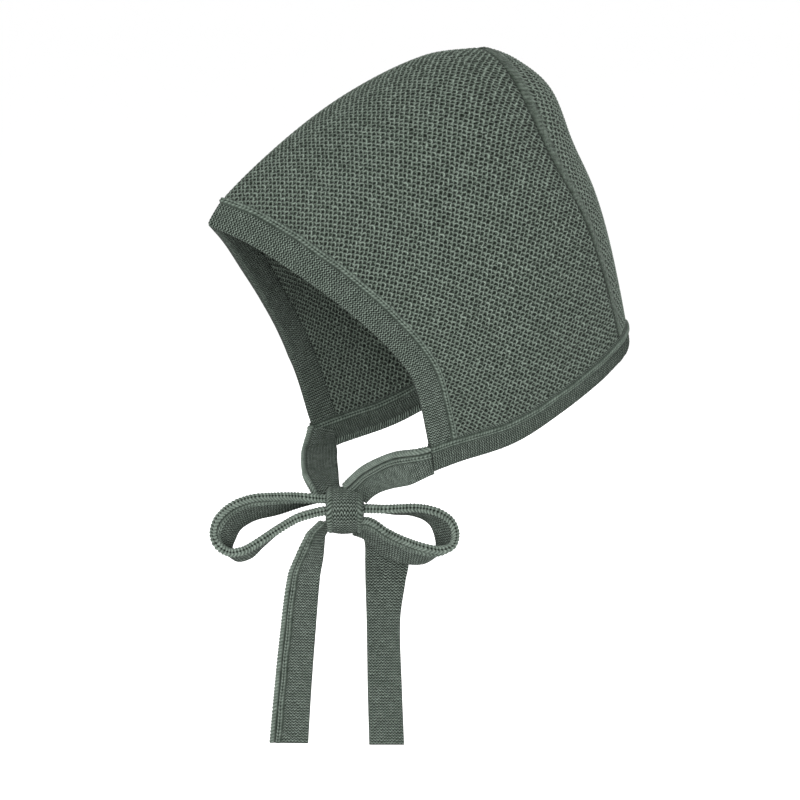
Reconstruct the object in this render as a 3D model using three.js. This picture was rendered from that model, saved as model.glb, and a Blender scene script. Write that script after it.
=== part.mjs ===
import * as THREE from 'three';

// Knitted baby bonnet, tied in a bow under the chin. Lengths are millimetres, angles degrees.
// The bonnet's own frame has x to the wearer's left, y to the back and z up. The whole bonnet is
// then tipped nose down, as worn, and set with its origin inside the crown at the top of the head,
// where the back seam crosses the crown line. Left and right are the wearer's for the bonnet and
// the straps, and as seen from the bow's front for the knot, loops and tails.

// Driving sizes of the bonnet
const CROWN_DEPTH = 144;
const CROWN_HEIGHT = 128;
const HALF_WIDTH = 58;
const BACK_BULGE = 28;
const NOSE_TILT = 28;
const KNIT_WALL = 2.4;
const SEAM_GAP = 0.3;
const FACE_BAND_WIDTH = 12;
const FACE_BAND_THICK = 3.6;
const NECK_BAND_WIDTH = 12.5;
const NECK_BAND_THICK = 3.6;
const SEAM_RIDGE = 1.2;
const SEAM_STRIP = 0.6;
const SEAM_STRIP_WIDTH = 3.6;

// Driving sizes of the ties and the bow
const TIE_WIDTH = 15;
const TIE_THICK = 2.8;
const TIE_RIB = 0.9;
const CHIN_DROP = 185.5;
const CHIN_SETBACK = 63.4;
const BOW_TURN = 60;
const KNOT_WIDTH = 15.6;
const KNOT_HEIGHT = 19;
const KNOT_DEPTH = 15;
const LEFT_LOOP_REACH = 46.5;
const LEFT_LOOP_HEIGHT = 24;
const RIGHT_LOOP_REACH = 39;
const RIGHT_LOOP_HEIGHT = 21;
const LEFT_TAIL_LENGTH = 86;
const RIGHT_TAIL_LENGTH = 87.5;

// Facets along and across each piece
const ARCH_STEPS = 44;
const DEPTH_STEPS = 13;
const BACK_ACROSS = 12;
const NECK_STEPS = 22;
const STRAP_STEPS = 12;
const LOOP_STEPS = 30;
const TAIL_STEPS = 14;
const ARCH_SAMPLES = 120;

// Crown sections from the face edge to the back seam. depth is a share of the way back; wide and
// neck_wide are half widths as shares of HALF_WIDTH; rise, widest and drop are heights as shares
// of CROWN_HEIGHT; round is the roundness of the arch, from 1 for a pointed one to 2 for an ellipse.
const SECTIONS = [
  { depth: 0.00, wide: 0.89, rise: -0.015, widest: 0.66, round: 1.20, neck_wide: 0.86, drop: 0.893 },
  { depth: 0.10, wide: 0.92, rise: 0.036, widest: 0.66, round: 1.36, neck_wide: 0.87, drop: 0.912 },
  { depth: 0.35, wide: 1.00, rise: 0.082, widest: 0.60, round: 1.70, neck_wide: 0.90, drop: 0.965 },
  { depth: 0.60, wide: 1.03, rise: 0.093, widest: 0.56, round: 1.90, neck_wide: 0.87, drop: 0.980 },
  { depth: 0.85, wide: 0.93, rise: 0.066, widest: 0.54, round: 1.90, neck_wide: 0.76, drop: 0.985 },
  { depth: 1.00, wide: 0.80, rise: 0.000, widest: 0.60, round: 1.80, neck_wide: 0.64, drop: 0.985 },
];

// The face edge and the back seam seen from the side: down is a share of the way from the crown
// line to the neck, along the cloth, and back is a share of CROWN_DEPTH behind the crown's middle.
const FACE_EDGE = [
  { down: 0.00, back: -0.985 },
  { down: 0.15, back: -0.928 },
  { down: 0.31, back: -0.880 },
  { down: 0.48, back: -0.833 },
  { down: 0.66, back: -0.795 },
  { down: 0.80, back: -0.785 },
  { down: 1.00, back: -0.817 },
];
const BACK_SEAM = [
  { down: 0.00, back: 0.015 },
  { down: 0.12, back: 0.005 },
  { down: 0.41, back: -0.063 },
  { down: 0.61, back: -0.070 },
  { down: 0.84, back: -0.088 },
  { down: 1.00, back: -0.095 },
];

// How far the back panel stands out behind its seam, as a share of BACK_BULGE, and how far its
// middle hangs below the seam, as a share of CROWN_HEIGHT
const BACK_PROFILE = [
  { down: 0.00, out: 0.02, sag: 0.000 },
  { down: 0.12, out: 0.52, sag: 0.045 },
  { down: 0.30, out: 0.95, sag: 0.035 },
  { down: 0.50, out: 0.99, sag: 0.020 },
  { down: 0.75, out: 0.90, sag: 0.015 },
  { down: 1.00, out: 0.70, sag: 0.020 },
];

// Smooth line through the rows of a table, for the column named
function readTable(rows, key, column, at) {
  const last = rows.length - 1;
  const x = Math.min(Math.max(at, rows[0][key]), rows[last][key]);
  let i = 0;
  while (i < last - 1 && x > rows[i + 1][key]) {
    i += 1;
  }
  const slope = (k) => {
    const before = Math.max(k - 1, 0);
    const after = Math.min(k + 1, last);
    return (rows[after][column] - rows[before][column]) / (rows[after][key] - rows[before][key]);
  };
  const span = rows[i + 1][key] - rows[i][key];
  const s = (x - rows[i][key]) / span;
  const rise = rows[i + 1][column] - rows[i][column];
  const a = slope(i) * span;
  const b = slope(i + 1) * span;
  return rows[i][column] + a * s + (3 * rise - 2 * a - b) * s * s + (a + b - 2 * rise) * s * s * s;
}

const mix = (a, b, share) => a + (b - a) * share;
const clamp01 = (value) => Math.min(Math.max(value, 0), 1);
const ease = (value) => clamp01(value) ** 2 * (3 - 2 * clamp01(value));

// Half width and height of the crown's arch at a depth, a share of the way down its length
const archCache = new Map();
function archLine(depth) {
  const key = depth.toFixed(6);
  if (archCache.has(key)) {
    return archCache.get(key);
  }
  const row = {};
  for (const column of ['wide', 'rise', 'widest', 'round', 'neck_wide', 'drop']) {
    row[column] = readTable(SECTIONS, 'depth', column, depth);
  }
  const points = [];
  for (let i = 0; i <= ARCH_SAMPLES; i += 1) {
    const q = (2 * i) / ARCH_SAMPLES;
    const turn = (Math.min(q, 1) * Math.PI) / 2;
    const below = Math.max(q - 1, 0);
    const bow = 2 / row.round;
    const x = row.wide * Math.abs(Math.sin(turn)) ** bow;
    const z = row.rise - (row.rise + row.widest) * (1 - Math.abs(Math.cos(turn)) ** bow);
    points.push({
      x: HALF_WIDTH * (x - (row.wide - row.neck_wide) * below * below),
      z: CROWN_HEIGHT * (z - below * (row.drop - row.widest)),
      length: 0,
    });
  }
  for (let i = 1; i < points.length; i += 1) {
    const step = Math.hypot(points[i].x - points[i - 1].x, points[i].z - points[i - 1].z);
    points[i].length = points[i - 1].length + step;
  }
  archCache.set(key, points);
  return points;
}
function archPoint(depth, down) {
  const points = archLine(depth);
  const target = down * points[points.length - 1].length;
  let i = 1;
  while (i < points.length - 1 && points[i].length < target) {
    i += 1;
  }
  const a = points[i - 1];
  const b = points[i];
  const share = (target - a.length) / (b.length - a.length);
  return { x: mix(a.x, b.x, share), z: mix(a.z, b.z, share) };
}

// A point of the crown: depth 0 at the face edge to 1 at the back seam, side -1 at the right neck
// edge over 0 at the crown line to 1 at the left neck edge
function crownPoint(depth, side) {
  const down = Math.abs(side);
  const { x, z } = archPoint(clamp01(depth), down);
  const front = readTable(FACE_EDGE, 'down', 'back', down);
  const rear = readTable(BACK_SEAM, 'down', 'back', down);
  return new THREE.Vector3(Math.sign(side) * x, CROWN_DEPTH * mix(front, rear, depth), z);
}
// A point of the back panel: down 0 at the top to 1 at the neck, across -1 to 1 between the seams
function backPoint(down, across) {
  const seam = crownPoint(1, down);
  const hollow = 1 - Math.abs(across) ** 2.2;
  const out = BACK_BULGE * readTable(BACK_PROFILE, 'down', 'out', down);
  const sag = CROWN_HEIGHT * readTable(BACK_PROFILE, 'down', 'sag', down);
  return new THREE.Vector3(seam.x * across, seam.y + out * hollow, seam.z - sag * hollow);
}

// Outward normals, from small steps along each surface
const NUDGE = 0.004;
function surfaceNormal(point, u, v, uRange, vRange) {
  const step = (value, range, sign) => Math.min(Math.max(value + sign * NUDGE, range[0]), range[1]);
  const du = point(step(u, uRange, 1), v).sub(point(step(u, uRange, -1), v));
  const dv = point(u, step(v, vRange, 1)).sub(point(u, step(v, vRange, -1)));
  return du.cross(dv).normalize();
}
const TOP_NORMAL_SIDE = 0.02;
function crownNormal(depth, side) {
  const off = Math.sign(side || 1) * Math.max(Math.abs(side), TOP_NORMAL_SIDE);
  const normal = surfaceNormal(crownPoint, depth, off, [0, 1], [-1, 1]).negate();
  if (Math.abs(side) < TOP_NORMAL_SIDE) {
    normal.x *= Math.abs(side) / TOP_NORMAL_SIDE;
    normal.normalize();
  }
  return normal;
}
function backNormal(down, across) {
  return surfaceNormal(backPoint, down, across, [NUDGE, 1], [-1, 1]).negate();
}

// The wall's direction through the cloth. At the back seam both panels share one mitre.
const SEAM_BLEND = 0.14;
function mitre(side) {
  const down = Math.max(Math.abs(side), TOP_NORMAL_SIDE);
  const edge = Math.sign(side || 1);
  const sum = crownNormal(1, edge * down).add(backNormal(down, edge));
  return sum.normalize();
}
function crownWall(depth, side) {
  const own = crownNormal(depth, side);
  const share = ease((depth - 1 + SEAM_BLEND) / SEAM_BLEND);
  return own.lerp(mitre(side), share).normalize();
}
function backWall(down, across) {
  const own = backNormal(down, across);
  const share = ease((Math.abs(across) - 1 + 2 * SEAM_BLEND) / (2 * SEAM_BLEND));
  const edge = mitre(Math.sign(across || 1) * down);
  return own.lerp(edge, share).normalize();
}

// Moves a point through the wall by a height, out being positive. Close to the crown line the
// sideways move is held short of the middle, and the drop makes up for it.
const MIDDLE_LIMIT = 0.8;
function through(point, wall, height) {
  const moved = point.clone().addScaledVector(wall, height);
  const limit = MIDDLE_LIMIT * Math.abs(point.x);
  if (height < 0 && Math.abs(wall.x * height) > limit && wall.z > 0) {
    const sideways = -Math.sign(wall.x) * limit;
    moved.x = point.x + sideways;
    moved.z = point.z + (height * (1 - wall.y * wall.y) - wall.x * sideways) / wall.z;
  }
  return moved;
}

// Closed solid through rings of points. A ring's point i faces its point n - 1 - i, so each end
// is closed by a ladder of quads between the two halves.
function loft(rings, outward) {
  const count = rings[0].length;
  const positions = rings.flat().flatMap((p) => [p.x, p.y, p.z]);
  const index = [];
  const quad = (a, b, c, d) => index.push(a, b, c, a, c, d);
  for (let j = 0; j < rings.length - 1; j += 1) {
    for (let i = 0; i < count; i += 1) {
      const next = (i + 1) % count;
      const low = j * count;
      const high = low + count;
      quad(low + i, low + next, high + next, high + i);
    }
  }
  const end = (rings.length - 1) * count;
  for (let i = 0; i < count / 2 - 1; i += 1) {
    quad(count - 1 - i, count - 2 - i, i + 1, i);
    quad(end + i, end + i + 1, end + count - 2 - i, end + count - 1 - i);
  }
  if (!outward) {
    for (let i = 0; i < index.length; i += 3) {
      [index[i], index[i + 1]] = [index[i + 1], index[i]];
    }
  }
  const geometry = new THREE.BufferGeometry();
  geometry.setAttribute('position', new THREE.Float32BufferAttribute(positions, 3));
  geometry.setIndex(index);
  geometry.computeVertexNormals();
  return geometry;
}
function volumeOf(geometry) {
  const p = geometry.attributes.position;
  const index = geometry.index.array;
  const [a, b, c] = [new THREE.Vector3(), new THREE.Vector3(), new THREE.Vector3()];
  let six = 0;
  for (let i = 0; i < index.length; i += 3) {
    a.fromBufferAttribute(p, index[i]);
    b.fromBufferAttribute(p, index[i + 1]);
    c.fromBufferAttribute(p, index[i + 2]);
    six += a.dot(b.cross(c));
  }
  return six / 6;
}
function solid(rings) {
  const geometry = loft(rings, true);
  return volumeOf(geometry) > 0 ? geometry : loft(rings, false);
}
const steps = (count) => Array.from({ length: count + 1 }, (_, i) => i / count);

// Places down the arch, closer together near the crown line. Both panels use the same ones, so
// that their seam edges run side by side.
const ARCH_CROWDING = 1.3;
const archDowns = steps(ARCH_STEPS / 2).map((share) => share ** ARCH_CROWDING);
const archSides = [...archDowns.slice(1).map((down) => -down).reverse(), ...archDowns];

// Share of the crown's depth that a length takes, at a place down the arch
function depthShare(length, down) {
  const front = readTable(FACE_EDGE, 'down', 'back', down);
  const rear = readTable(BACK_SEAM, 'down', 'back', down);
  return length / (CROWN_DEPTH * (rear - front));
}

// Crown panel, over the head from ear to ear, with the flat half of the back seam. It is knitted in
// one, and stands here as three parts side by side, which meet at places down the arch.
const CROWN_SPLIT = archDowns[10];
const splitGap = SEAM_GAP / (2 * archLine(0.5)[ARCH_SAMPLES].length);
function crownPart(from, to) {
  const between = archSides.filter((side) => side > from + splitGap && side < to - splitGap);
  const rings = [from, ...between, to].map((side) => {
    const down = Math.abs(side);
    const first = depthShare(FACE_BAND_WIDTH + SEAM_GAP, down);
    const last = 1 - depthShare(SEAM_GAP, down);
    const depths = steps(DEPTH_STEPS).map((v) => mix(first, last, v));
    const outer = depths.map((d) => crownPoint(d, side));
    const inner = depths.map((d) => through(crownPoint(d, side), crownWall(d, side), -KNIT_WALL));
    return [...outer, ...inner.reverse()];
  });
  return solid(rings);
}

// Back panel: a horseshoe that closes the back of the head, with a raised strip along its seam
function backPanel() {
  const rings = archDowns.slice(1).map((down) => {
    const half = crownPoint(1, down).x;
    const shares = steps(BACK_ACROSS).map((u) => Math.sin((u - 0.5) * Math.PI));
    const inside = (c) => through(backPoint(down, c), backWall(down, c), -KNIT_WALL);
    const stripEdge = 1 - SEAM_STRIP_WIDTH / Math.max(half, 2 * SEAM_STRIP_WIDTH);
    const raised = (c) => {
      const on = ease((Math.abs(c) - stripEdge) / (1 - stripEdge) * 2);
      return backPoint(down, c).addScaledVector(backWall(down, c), SEAM_STRIP * on);
    };
    return [...shares.map(raised), ...shares.map(inside).reverse()];
  });
  return solid(rings);
}

// Face band: knit folded double round the face edge, with a raised chain where it is linked on.
// across is a share of FACE_BAND_WIDTH from the fold; out and inn are shares of FACE_BAND_THICK
// above and below the crown's outer face; ridge is a share of SEAM_RIDGE.
const FACE_SECTION = [
  { across: 0.02, out: -0.22, inn: -0.62, ridge: 0 },
  { across: 0.09, out: 0.02, inn: -0.84, ridge: 0 },
  { across: 0.28, out: 0.11, inn: -0.89, ridge: 0 },
  { across: 0.70, out: 0.11, inn: -0.89, ridge: 0 },
  { across: 0.76, out: 0.11, inn: -0.87, ridge: 0.9 },
  { across: 0.85, out: 0.11, inn: -0.82, ridge: 0.75 },
  { across: 0.94, out: 0.11, inn: -0.75, ridge: 0.9 },
  { across: 1.00, out: 0.04, inn: -0.68, ridge: 0 },
];
function faceBand() {
  const rings = archSides.map((side) => {
    const lift = (row, height) => {
      const depth = depthShare(FACE_BAND_WIDTH * row.across, Math.abs(side));
      return through(crownPoint(depth, side), crownNormal(depth, side), height);
    };
    const outer = FACE_SECTION.map((row) =>
      lift(row, row.out * FACE_BAND_THICK + row.ridge * SEAM_RIDGE));
    const inner = FACE_SECTION.map((row) => lift(row, row.inn * FACE_BAND_THICK));
    return [...outer, ...inner.reverse()];
  });
  return solid(rings);
}

// The neck edge, from the right face corner (-1) round the back (0) to the left one (1)
const NECK_BACK_SHARE = 0.27;
function neckPoint(at) {
  const far = Math.abs(at);
  const edge = Math.sign(at || 1);
  if (far <= NECK_BACK_SHARE) {
    return backPoint(1, at / NECK_BACK_SHARE);
  }
  return crownPoint(1 - (far - NECK_BACK_SHARE) / (1 - NECK_BACK_SHARE), edge);
}
const NECK_SMOOTH = 0.05;
function neckNormal(at) {
  const total = new THREE.Vector3();
  for (const shift of [-NECK_SMOOTH, 0, NECK_SMOOTH]) {
    const near = Math.min(Math.max(at + shift, -1), 1);
    const far = Math.abs(near);
    const edge = Math.sign(near || 1);
    const depth = 1 - (far - NECK_BACK_SHARE) / (1 - NECK_BACK_SHARE);
    total.add(far <= NECK_BACK_SHARE
      ? backNormal(1, near / NECK_BACK_SHARE)
      : crownNormal(depth, edge));
  }
  return total.normalize();
}
function neckFrame(at) {
  const ahead = neckPoint(Math.min(at + NECK_SMOOTH, 1));
  const along = ahead.sub(neckPoint(Math.max(at - NECK_SMOOTH, -1))).normalize();
  const out = neckNormal(at);
  const down = new THREE.Vector3().crossVectors(along, out).normalize();
  if (down.z > 0) {
    down.negate();
  }
  return { origin: neckPoint(at), along, out, down };
}

// Neck band: a strip below the neck edge that rolls inward, with the chain along its top.
// down and inner_down are shares of NECK_BAND_WIDTH, out and inner_out of NECK_BAND_THICK.
const NECK_SECTION = [
  { down: 0.02, out: 0.05, inner_down: 0.02, inner_out: -0.62, ridge: 0 },
  { down: 0.07, out: 0.12, inner_down: 0.08, inner_out: -0.72, ridge: 0.9 },
  { down: 0.18, out: 0.12, inner_down: 0.18, inner_out: -0.80, ridge: 0.75 },
  { down: 0.29, out: 0.12, inner_down: 0.29, inner_out: -0.86, ridge: 0.9 },
  { down: 0.35, out: 0.12, inner_down: 0.38, inner_out: -0.90, ridge: 0 },
  { down: 0.66, out: 0.05, inner_down: 0.56, inner_out: -0.98, ridge: 0 },
  { down: 0.86, out: -0.28, inner_down: 0.66, inner_out: -1.18, ridge: 0 },
  { down: 0.93, out: -0.85, inner_down: 0.70, inner_out: -1.30, ridge: 0 },
];
const NECK_LOWEST = Math.max(...NECK_SECTION.map((row) => row.down));
function neckBand() {
  const rings = steps(2 * NECK_STEPS).map((u) => {
    const { origin, out, down } = neckFrame(2 * u - 1);
    const place = (below, beyond) => origin.clone()
      .addScaledVector(down, SEAM_GAP + below * NECK_BAND_WIDTH)
      .addScaledVector(out, beyond);
    const outer = NECK_SECTION.map((row) =>
      place(row.down, row.out * NECK_BAND_THICK + row.ridge * SEAM_RIDGE));
    const inner = NECK_SECTION.map((row) => place(row.inner_down, row.inner_out * NECK_BAND_THICK));
    return [...outer, ...inner.reverse()];
  });
  return solid(rings);
}

// Tie section: a flat knitted strip with a rib along its first edge. across is a share of the
// strip's width from its middle, high a share of TIE_THICK to each side, rib a share of TIE_RIB.
const TIE_SECTION = [
  { across: -0.50, high: 0.22, rib: 0 },
  { across: -0.46, high: 0.46, rib: 0.8 },
  { across: -0.36, high: 0.50, rib: 1 },
  { across: -0.27, high: 0.50, rib: 0.1 },
  { across: 0.10, high: 0.50, rib: 0 },
  { across: 0.45, high: 0.48, rib: 0 },
  { across: 0.50, high: 0.20, rib: 0 },
];
// frames: centre, along, across direction and width of the strip at each step. The rib stands on
// the side that along x across points to.
function tieSolid(frames) {
  const rings = frames.map(({ centre, along, across, width }) => {
    const side = across.clone().addScaledVector(along, -across.dot(along)).normalize();
    const face = new THREE.Vector3().crossVectors(along, side).normalize();
    const place = (share, height) => centre.clone()
      .addScaledVector(side, share * width)
      .addScaledVector(face, height);
    const upper = TIE_SECTION.map((row) =>
      place(row.across, row.high * TIE_THICK + row.rib * TIE_RIB));
    const lower = TIE_SECTION.map((row) => place(row.across, -row.high * TIE_THICK));
    return [...upper, ...lower.reverse()];
  });
  return solid(rings);
}

// Tipping the bonnet, and the bow's own directions: right along the bow, toward its front, up
const tip = new THREE.Matrix4().makeRotationX(THREE.MathUtils.degToRad(NOSE_TILT));
const seamTop = crownPoint(1, 0).applyMatrix4(tip);
const tipped = new THREE.Matrix4()
  .makeTranslation(0, -seamTop.y, KNIT_WALL - seamTop.z)
  .multiply(tip);
const bowTurn = THREE.MathUtils.degToRad(BOW_TURN);
const bowRight = new THREE.Vector3(Math.cos(bowTurn), Math.sin(bowTurn), 0);
const bowFront = new THREE.Vector3(Math.sin(bowTurn), -Math.cos(bowTurn), 0);
const bowUp = new THREE.Vector3(0, 0, 1);
const knotCentre = new THREE.Vector3(0, -CHIN_SETBACK, -CHIN_DROP + KNIT_WALL);
const bowDirection = (right, front, up) => new THREE.Vector3()
  .addScaledVector(bowRight, right)
  .addScaledVector(bowFront, front)
  .addScaledVector(bowUp, up);
const bowPlace = (right, front, up) => bowDirection(right, front, up).add(knotCentre);

// Knot: one tie wrapped round the other, rounded, with flat ends. at is a share of KNOT_WIDTH,
// tall and deep are shares of the half height and half depth.
const KNOT_SECTIONS = [
  { at: -0.50, tall: 0.70, deep: 0.66 },
  { at: -0.43, tall: 0.88, deep: 0.86 },
  { at: -0.20, tall: 1.00, deep: 1.00 },
  { at: 0.15, tall: 1.00, deep: 1.00 },
  { at: 0.40, tall: 0.90, deep: 0.88 },
  { at: 0.50, tall: 0.72, deep: 0.68 },
];
const KNOT_SIDES = 20;
const KNOT_ROUND = 0.82;
function bowKnot() {
  const rings = KNOT_SECTIONS.map((row) => Array.from({ length: KNOT_SIDES }, (_, i) => {
    const turn = ((i + 0.5) / KNOT_SIDES) * 2 * Math.PI;
    const squared = (value) => Math.sign(value) * Math.abs(value) ** KNOT_ROUND;
    return bowPlace(
      row.at * KNOT_WIDTH,
      squared(Math.cos(turn)) * row.deep * KNOT_DEPTH / 2,
      squared(Math.sin(turn)) * row.tall * KNOT_HEIGHT / 2,
    );
  }));
  return solid(rings);
}

// Loops: the strip's chain edge leaves the knot, goes round and comes back. reach is a share of
// the loop's reach from the knot and up a share of its height above the knot's middle. inward and
// rear_down say how far the other edge lies toward the knot and below the chain edge, and wide how
// wide the strip is spread, as shares of TIE_WIDTH.
const LEFT_LOOP = [
  { reach: 0.00, up: 0.22, inward: 0.00, rear_down: 0.10, wide: 0.74 },
  { reach: 0.10, up: 0.24, inward: 0.00, rear_down: 0.22, wide: 0.84 },
  { reach: 0.23, up: 0.27, inward: 0.00, rear_down: 0.40, wide: 0.96 },
  { reach: 0.40, up: 0.28, inward: 0.01, rear_down: 0.59, wide: 1.00 },
  { reach: 0.64, up: 0.25, inward: 0.08, rear_down: 0.71, wide: 1.00 },
  { reach: 0.82, up: 0.11, inward: 0.27, rear_down: 0.73, wide: 1.00 },
  { reach: 0.94, up: -0.12, inward: 0.51, rear_down: 0.63, wide: 1.00 },
  { reach: 0.97, up: -0.37, inward: 0.51, rear_down: 0.47, wide: 1.00 },
  { reach: 0.92, up: -0.57, inward: 0.37, rear_down: 0.36, wide: 1.00 },
  { reach: 0.82, up: -0.68, inward: 0.23, rear_down: 0.33, wide: 1.00 },
  { reach: 0.70, up: -0.65, inward: 0.19, rear_down: 0.29, wide: 1.00 },
  { reach: 0.58, up: -0.53, inward: 0.12, rear_down: 0.19, wide: 1.00 },
  { reach: 0.40, up: -0.31, inward: 0.05, rear_down: 0.11, wide: 1.00 },
  { reach: 0.23, up: -0.12, inward: 0.01, rear_down: 0.08, wide: 0.96 },
  { reach: 0.10, up: -0.04, inward: 0.00, rear_down: 0.07, wide: 0.84 },
  { reach: 0.00, up: 0.00, inward: 0.00, rear_down: 0.05, wide: 0.74 },
];
const RIGHT_LOOP = [
  { reach: 0.00, up: -0.14, inward: 0.05, rear_down: 0.60, wide: 0.74 },
  { reach: 0.09, up: -0.20, inward: 0.08, rear_down: 0.70, wide: 0.84 },
  { reach: 0.21, up: -0.36, inward: 0.07, rear_down: 0.76, wide: 0.98 },
  { reach: 0.42, up: -0.55, inward: 0.07, rear_down: 0.71, wide: 1.00 },
  { reach: 0.66, up: -0.70, inward: 0.17, rear_down: 0.51, wide: 1.00 },
  { reach: 0.80, up: -0.73, inward: 0.31, rear_down: 0.32, wide: 1.00 },
  { reach: 0.91, up: -0.64, inward: 0.45, rear_down: 0.16, wide: 1.00 },
  { reach: 0.945, up: -0.41, inward: 0.57, rear_down: 0.17, wide: 1.00 },
  { reach: 0.89, up: -0.16, inward: 0.55, rear_down: 0.16, wide: 1.00 },
  { reach: 0.76, up: 0.00, inward: 0.44, rear_down: 0.09, wide: 1.00 },
  { reach: 0.56, up: 0.08, inward: 0.29, rear_down: 0.04, wide: 1.00 },
  { reach: 0.35, up: 0.07, inward: 0.17, rear_down: 0.04, wide: 1.00 },
  { reach: 0.21, up: 0.05, inward: 0.09, rear_down: 0.05, wide: 0.98 },
  { reach: 0.09, up: 0.05, inward: 0.04, rear_down: 0.05, wide: 0.84 },
  { reach: 0.00, up: 0.05, inward: 0.00, rear_down: 0.05, wide: 0.74 },
];
const LOOP_CLEARANCE = 1;
const LOOP_FRONT = 4.6;
const LOOP_SPREAD = 2.4;
function bowLoop(table, hand, reach, height) {
  const start = KNOT_WIDTH / 2 + LOOP_CLEARANCE;
  const chainEdge = table.map((row) => bowPlace(
    hand * (start + row.reach * reach),
    LOOP_FRONT + LOOP_SPREAD * row.reach,
    row.up * height,
  ));
  const rearEdge = table.map((row, i) => {
    const back = Math.sqrt(row.wide ** 2 - row.inward ** 2 - row.rear_down ** 2);
    return bowDirection(-hand * row.inward, -back, -row.rear_down)
      .multiplyScalar(TIE_WIDTH)
      .add(chainEdge[i]);
  });
  const chainLine = new THREE.CatmullRomCurve3(chainEdge);
  const rearLine = new THREE.CatmullRomCurve3(rearEdge);
  const frames = steps(LOOP_STEPS).map((u) => {
    const first = chainLine.getPoint(u);
    const second = rearLine.getPoint(u);
    const along = chainLine.getTangent(u).add(rearLine.getTangent(u)).normalize();
    return {
      centre: first.clone().lerp(second, 0.5),
      along: along.multiplyScalar(hand),
      across: second.clone().sub(first).normalize(),
      width: first.distanceTo(second),
    };
  });
  return tieSolid(frames);
}

// Tails: rows down each tail. right and front are shares of TIE_WIDTH from the knot's middle,
// fall is a share of the tail's length, wide of TIE_WIDTH; yaw turns its face, in degrees.
const LEFT_TAIL = [
  { fall: 0.00, right: -0.36, front: 0.04, wide: 0.58, yaw: 16 },
  { fall: 0.10, right: -0.92, front: 0.16, wide: 0.82, yaw: 28 },
  { fall: 0.20, right: -1.10, front: 0.16, wide: 0.94, yaw: 24 },
  { fall: 0.50, right: -1.29, front: 0.10, wide: 0.99, yaw: 14 },
  { fall: 0.75, right: -1.42, front: 0.04, wide: 1.02, yaw: 8 },
  { fall: 1.00, right: -1.53, front: 0.00, wide: 1.06, yaw: 5 },
];
const RIGHT_TAIL = [
  { fall: 0.00, right: 0.20, front: -0.38, wide: 0.56, yaw: 0 },
  { fall: 0.06, right: 0.68, front: -0.72, wide: 0.86, yaw: 0 },
  { fall: 0.15, right: 1.10, front: -0.76, wide: 1.08, yaw: -2 },
  { fall: 0.24, right: 1.10, front: -0.62, wide: 1.08, yaw: -3 },
  { fall: 0.42, right: 1.05, front: -0.50, wide: 0.94, yaw: -4 },
  { fall: 0.75, right: 1.09, front: -0.36, wide: 0.96, yaw: -2 },
  { fall: 1.00, right: 1.14, front: -0.28, wide: 0.98, yaw: 0 },
];
function bowTail(table, length) {
  const top = -KNOT_HEIGHT / 2 - SEAM_GAP;
  const at = (fall) => bowPlace(
    TIE_WIDTH * readTable(table, 'fall', 'right', fall),
    TIE_WIDTH * readTable(table, 'fall', 'front', fall),
    top - length * fall,
  );
  const frames = steps(TAIL_STEPS).map((fall) => {
    const yaw = THREE.MathUtils.degToRad(readTable(table, 'fall', 'yaw', fall));
    const along = at(Math.min(fall + 0.02, 1)).sub(at(Math.max(fall - 0.02, 0))).normalize();
    return {
      centre: at(fall),
      along: along.negate(),
      across: bowDirection(Math.cos(yaw), Math.sin(yaw), 0),
      width: TIE_WIDTH * readTable(table, 'fall', 'wide', fall),
    };
  });
  return tieSolid(frames);
}

// Straps: the left one runs on from the neck band, the right one folds down at its corner. Both
// come to the knot from above.
const STRAP_START_WIDTH = 0.8;
const STRAP_END_WIDTH = 0.85;
const LEFT_STRAP_END = {
  place: { right: 0.47, front: 0.04, up: 0.47 },
  across: { right: 0.70, front: -0.10, up: -0.70 },
  arrive: { right: -0.62, front: -0.60, up: -0.50 },
};
const RIGHT_STRAP_END = {
  place: { right: -0.36, front: -0.18, up: 0.515 },
  across: { right: 0.90, front: -0.30, up: 0.20 },
  arrive: { right: 0.15, front: 0.60, up: -0.78 },
};
const STRAP_PULL = 0.25;
const FOLD_SETBACK = 0.3;
function chinStrap(hand, folded, end) {
  const { origin, along, out, down } = neckFrame(hand);
  const forward = along.clone().multiplyScalar(hand);
  const half = TIE_WIDTH * STRAP_START_WIDTH / 2;
  const first = origin.clone().addScaledVector(out, -NECK_BAND_THICK / 3);
  if (folded) {
    first.addScaledVector(down, 2 * SEAM_GAP + NECK_BAND_WIDTH * NECK_LOWEST);
    first.addScaledVector(forward, -half * FOLD_SETBACK);
  } else {
    first.addScaledVector(down, SEAM_GAP + half);
    first.addScaledVector(forward, SEAM_GAP);
  }
  first.applyMatrix4(tipped);
  const last = bowPlace(
    KNOT_WIDTH * end.place.right,
    KNOT_DEPTH * end.place.front,
    KNOT_HEIGHT * end.place.up,
  );
  const leave = (folded ? down : forward).clone().transformDirection(tipped);
  const acrossStart = (folded ? forward.clone().negate() : down).clone().transformDirection(tipped);
  const arrive = bowDirection(end.arrive.right, end.arrive.front, end.arrive.up).normalize();
  const pull = STRAP_PULL * first.distanceTo(last);
  const path = new THREE.CubicBezierCurve3(
    first,
    first.clone().addScaledVector(leave, pull),
    last.clone().addScaledVector(arrive, -pull),
    last,
  );
  const acrossEnd = bowDirection(end.across.right, end.across.front, end.across.up).normalize();
  const frames = steps(STRAP_STEPS).map((u) => ({
    centre: path.getPointAt(u),
    along: path.getTangentAt(u).multiplyScalar(hand),
    across: acrossStart.clone().lerp(acrossEnd, ease(u)).normalize(),
    width: TIE_WIDTH * (1 - (1 - STRAP_START_WIDTH) * (1 - ease(3 * u))
      - (1 - STRAP_END_WIDTH) * ease(3 * u - 2)),
  }));
  return tieSolid(frames);
}

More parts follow.
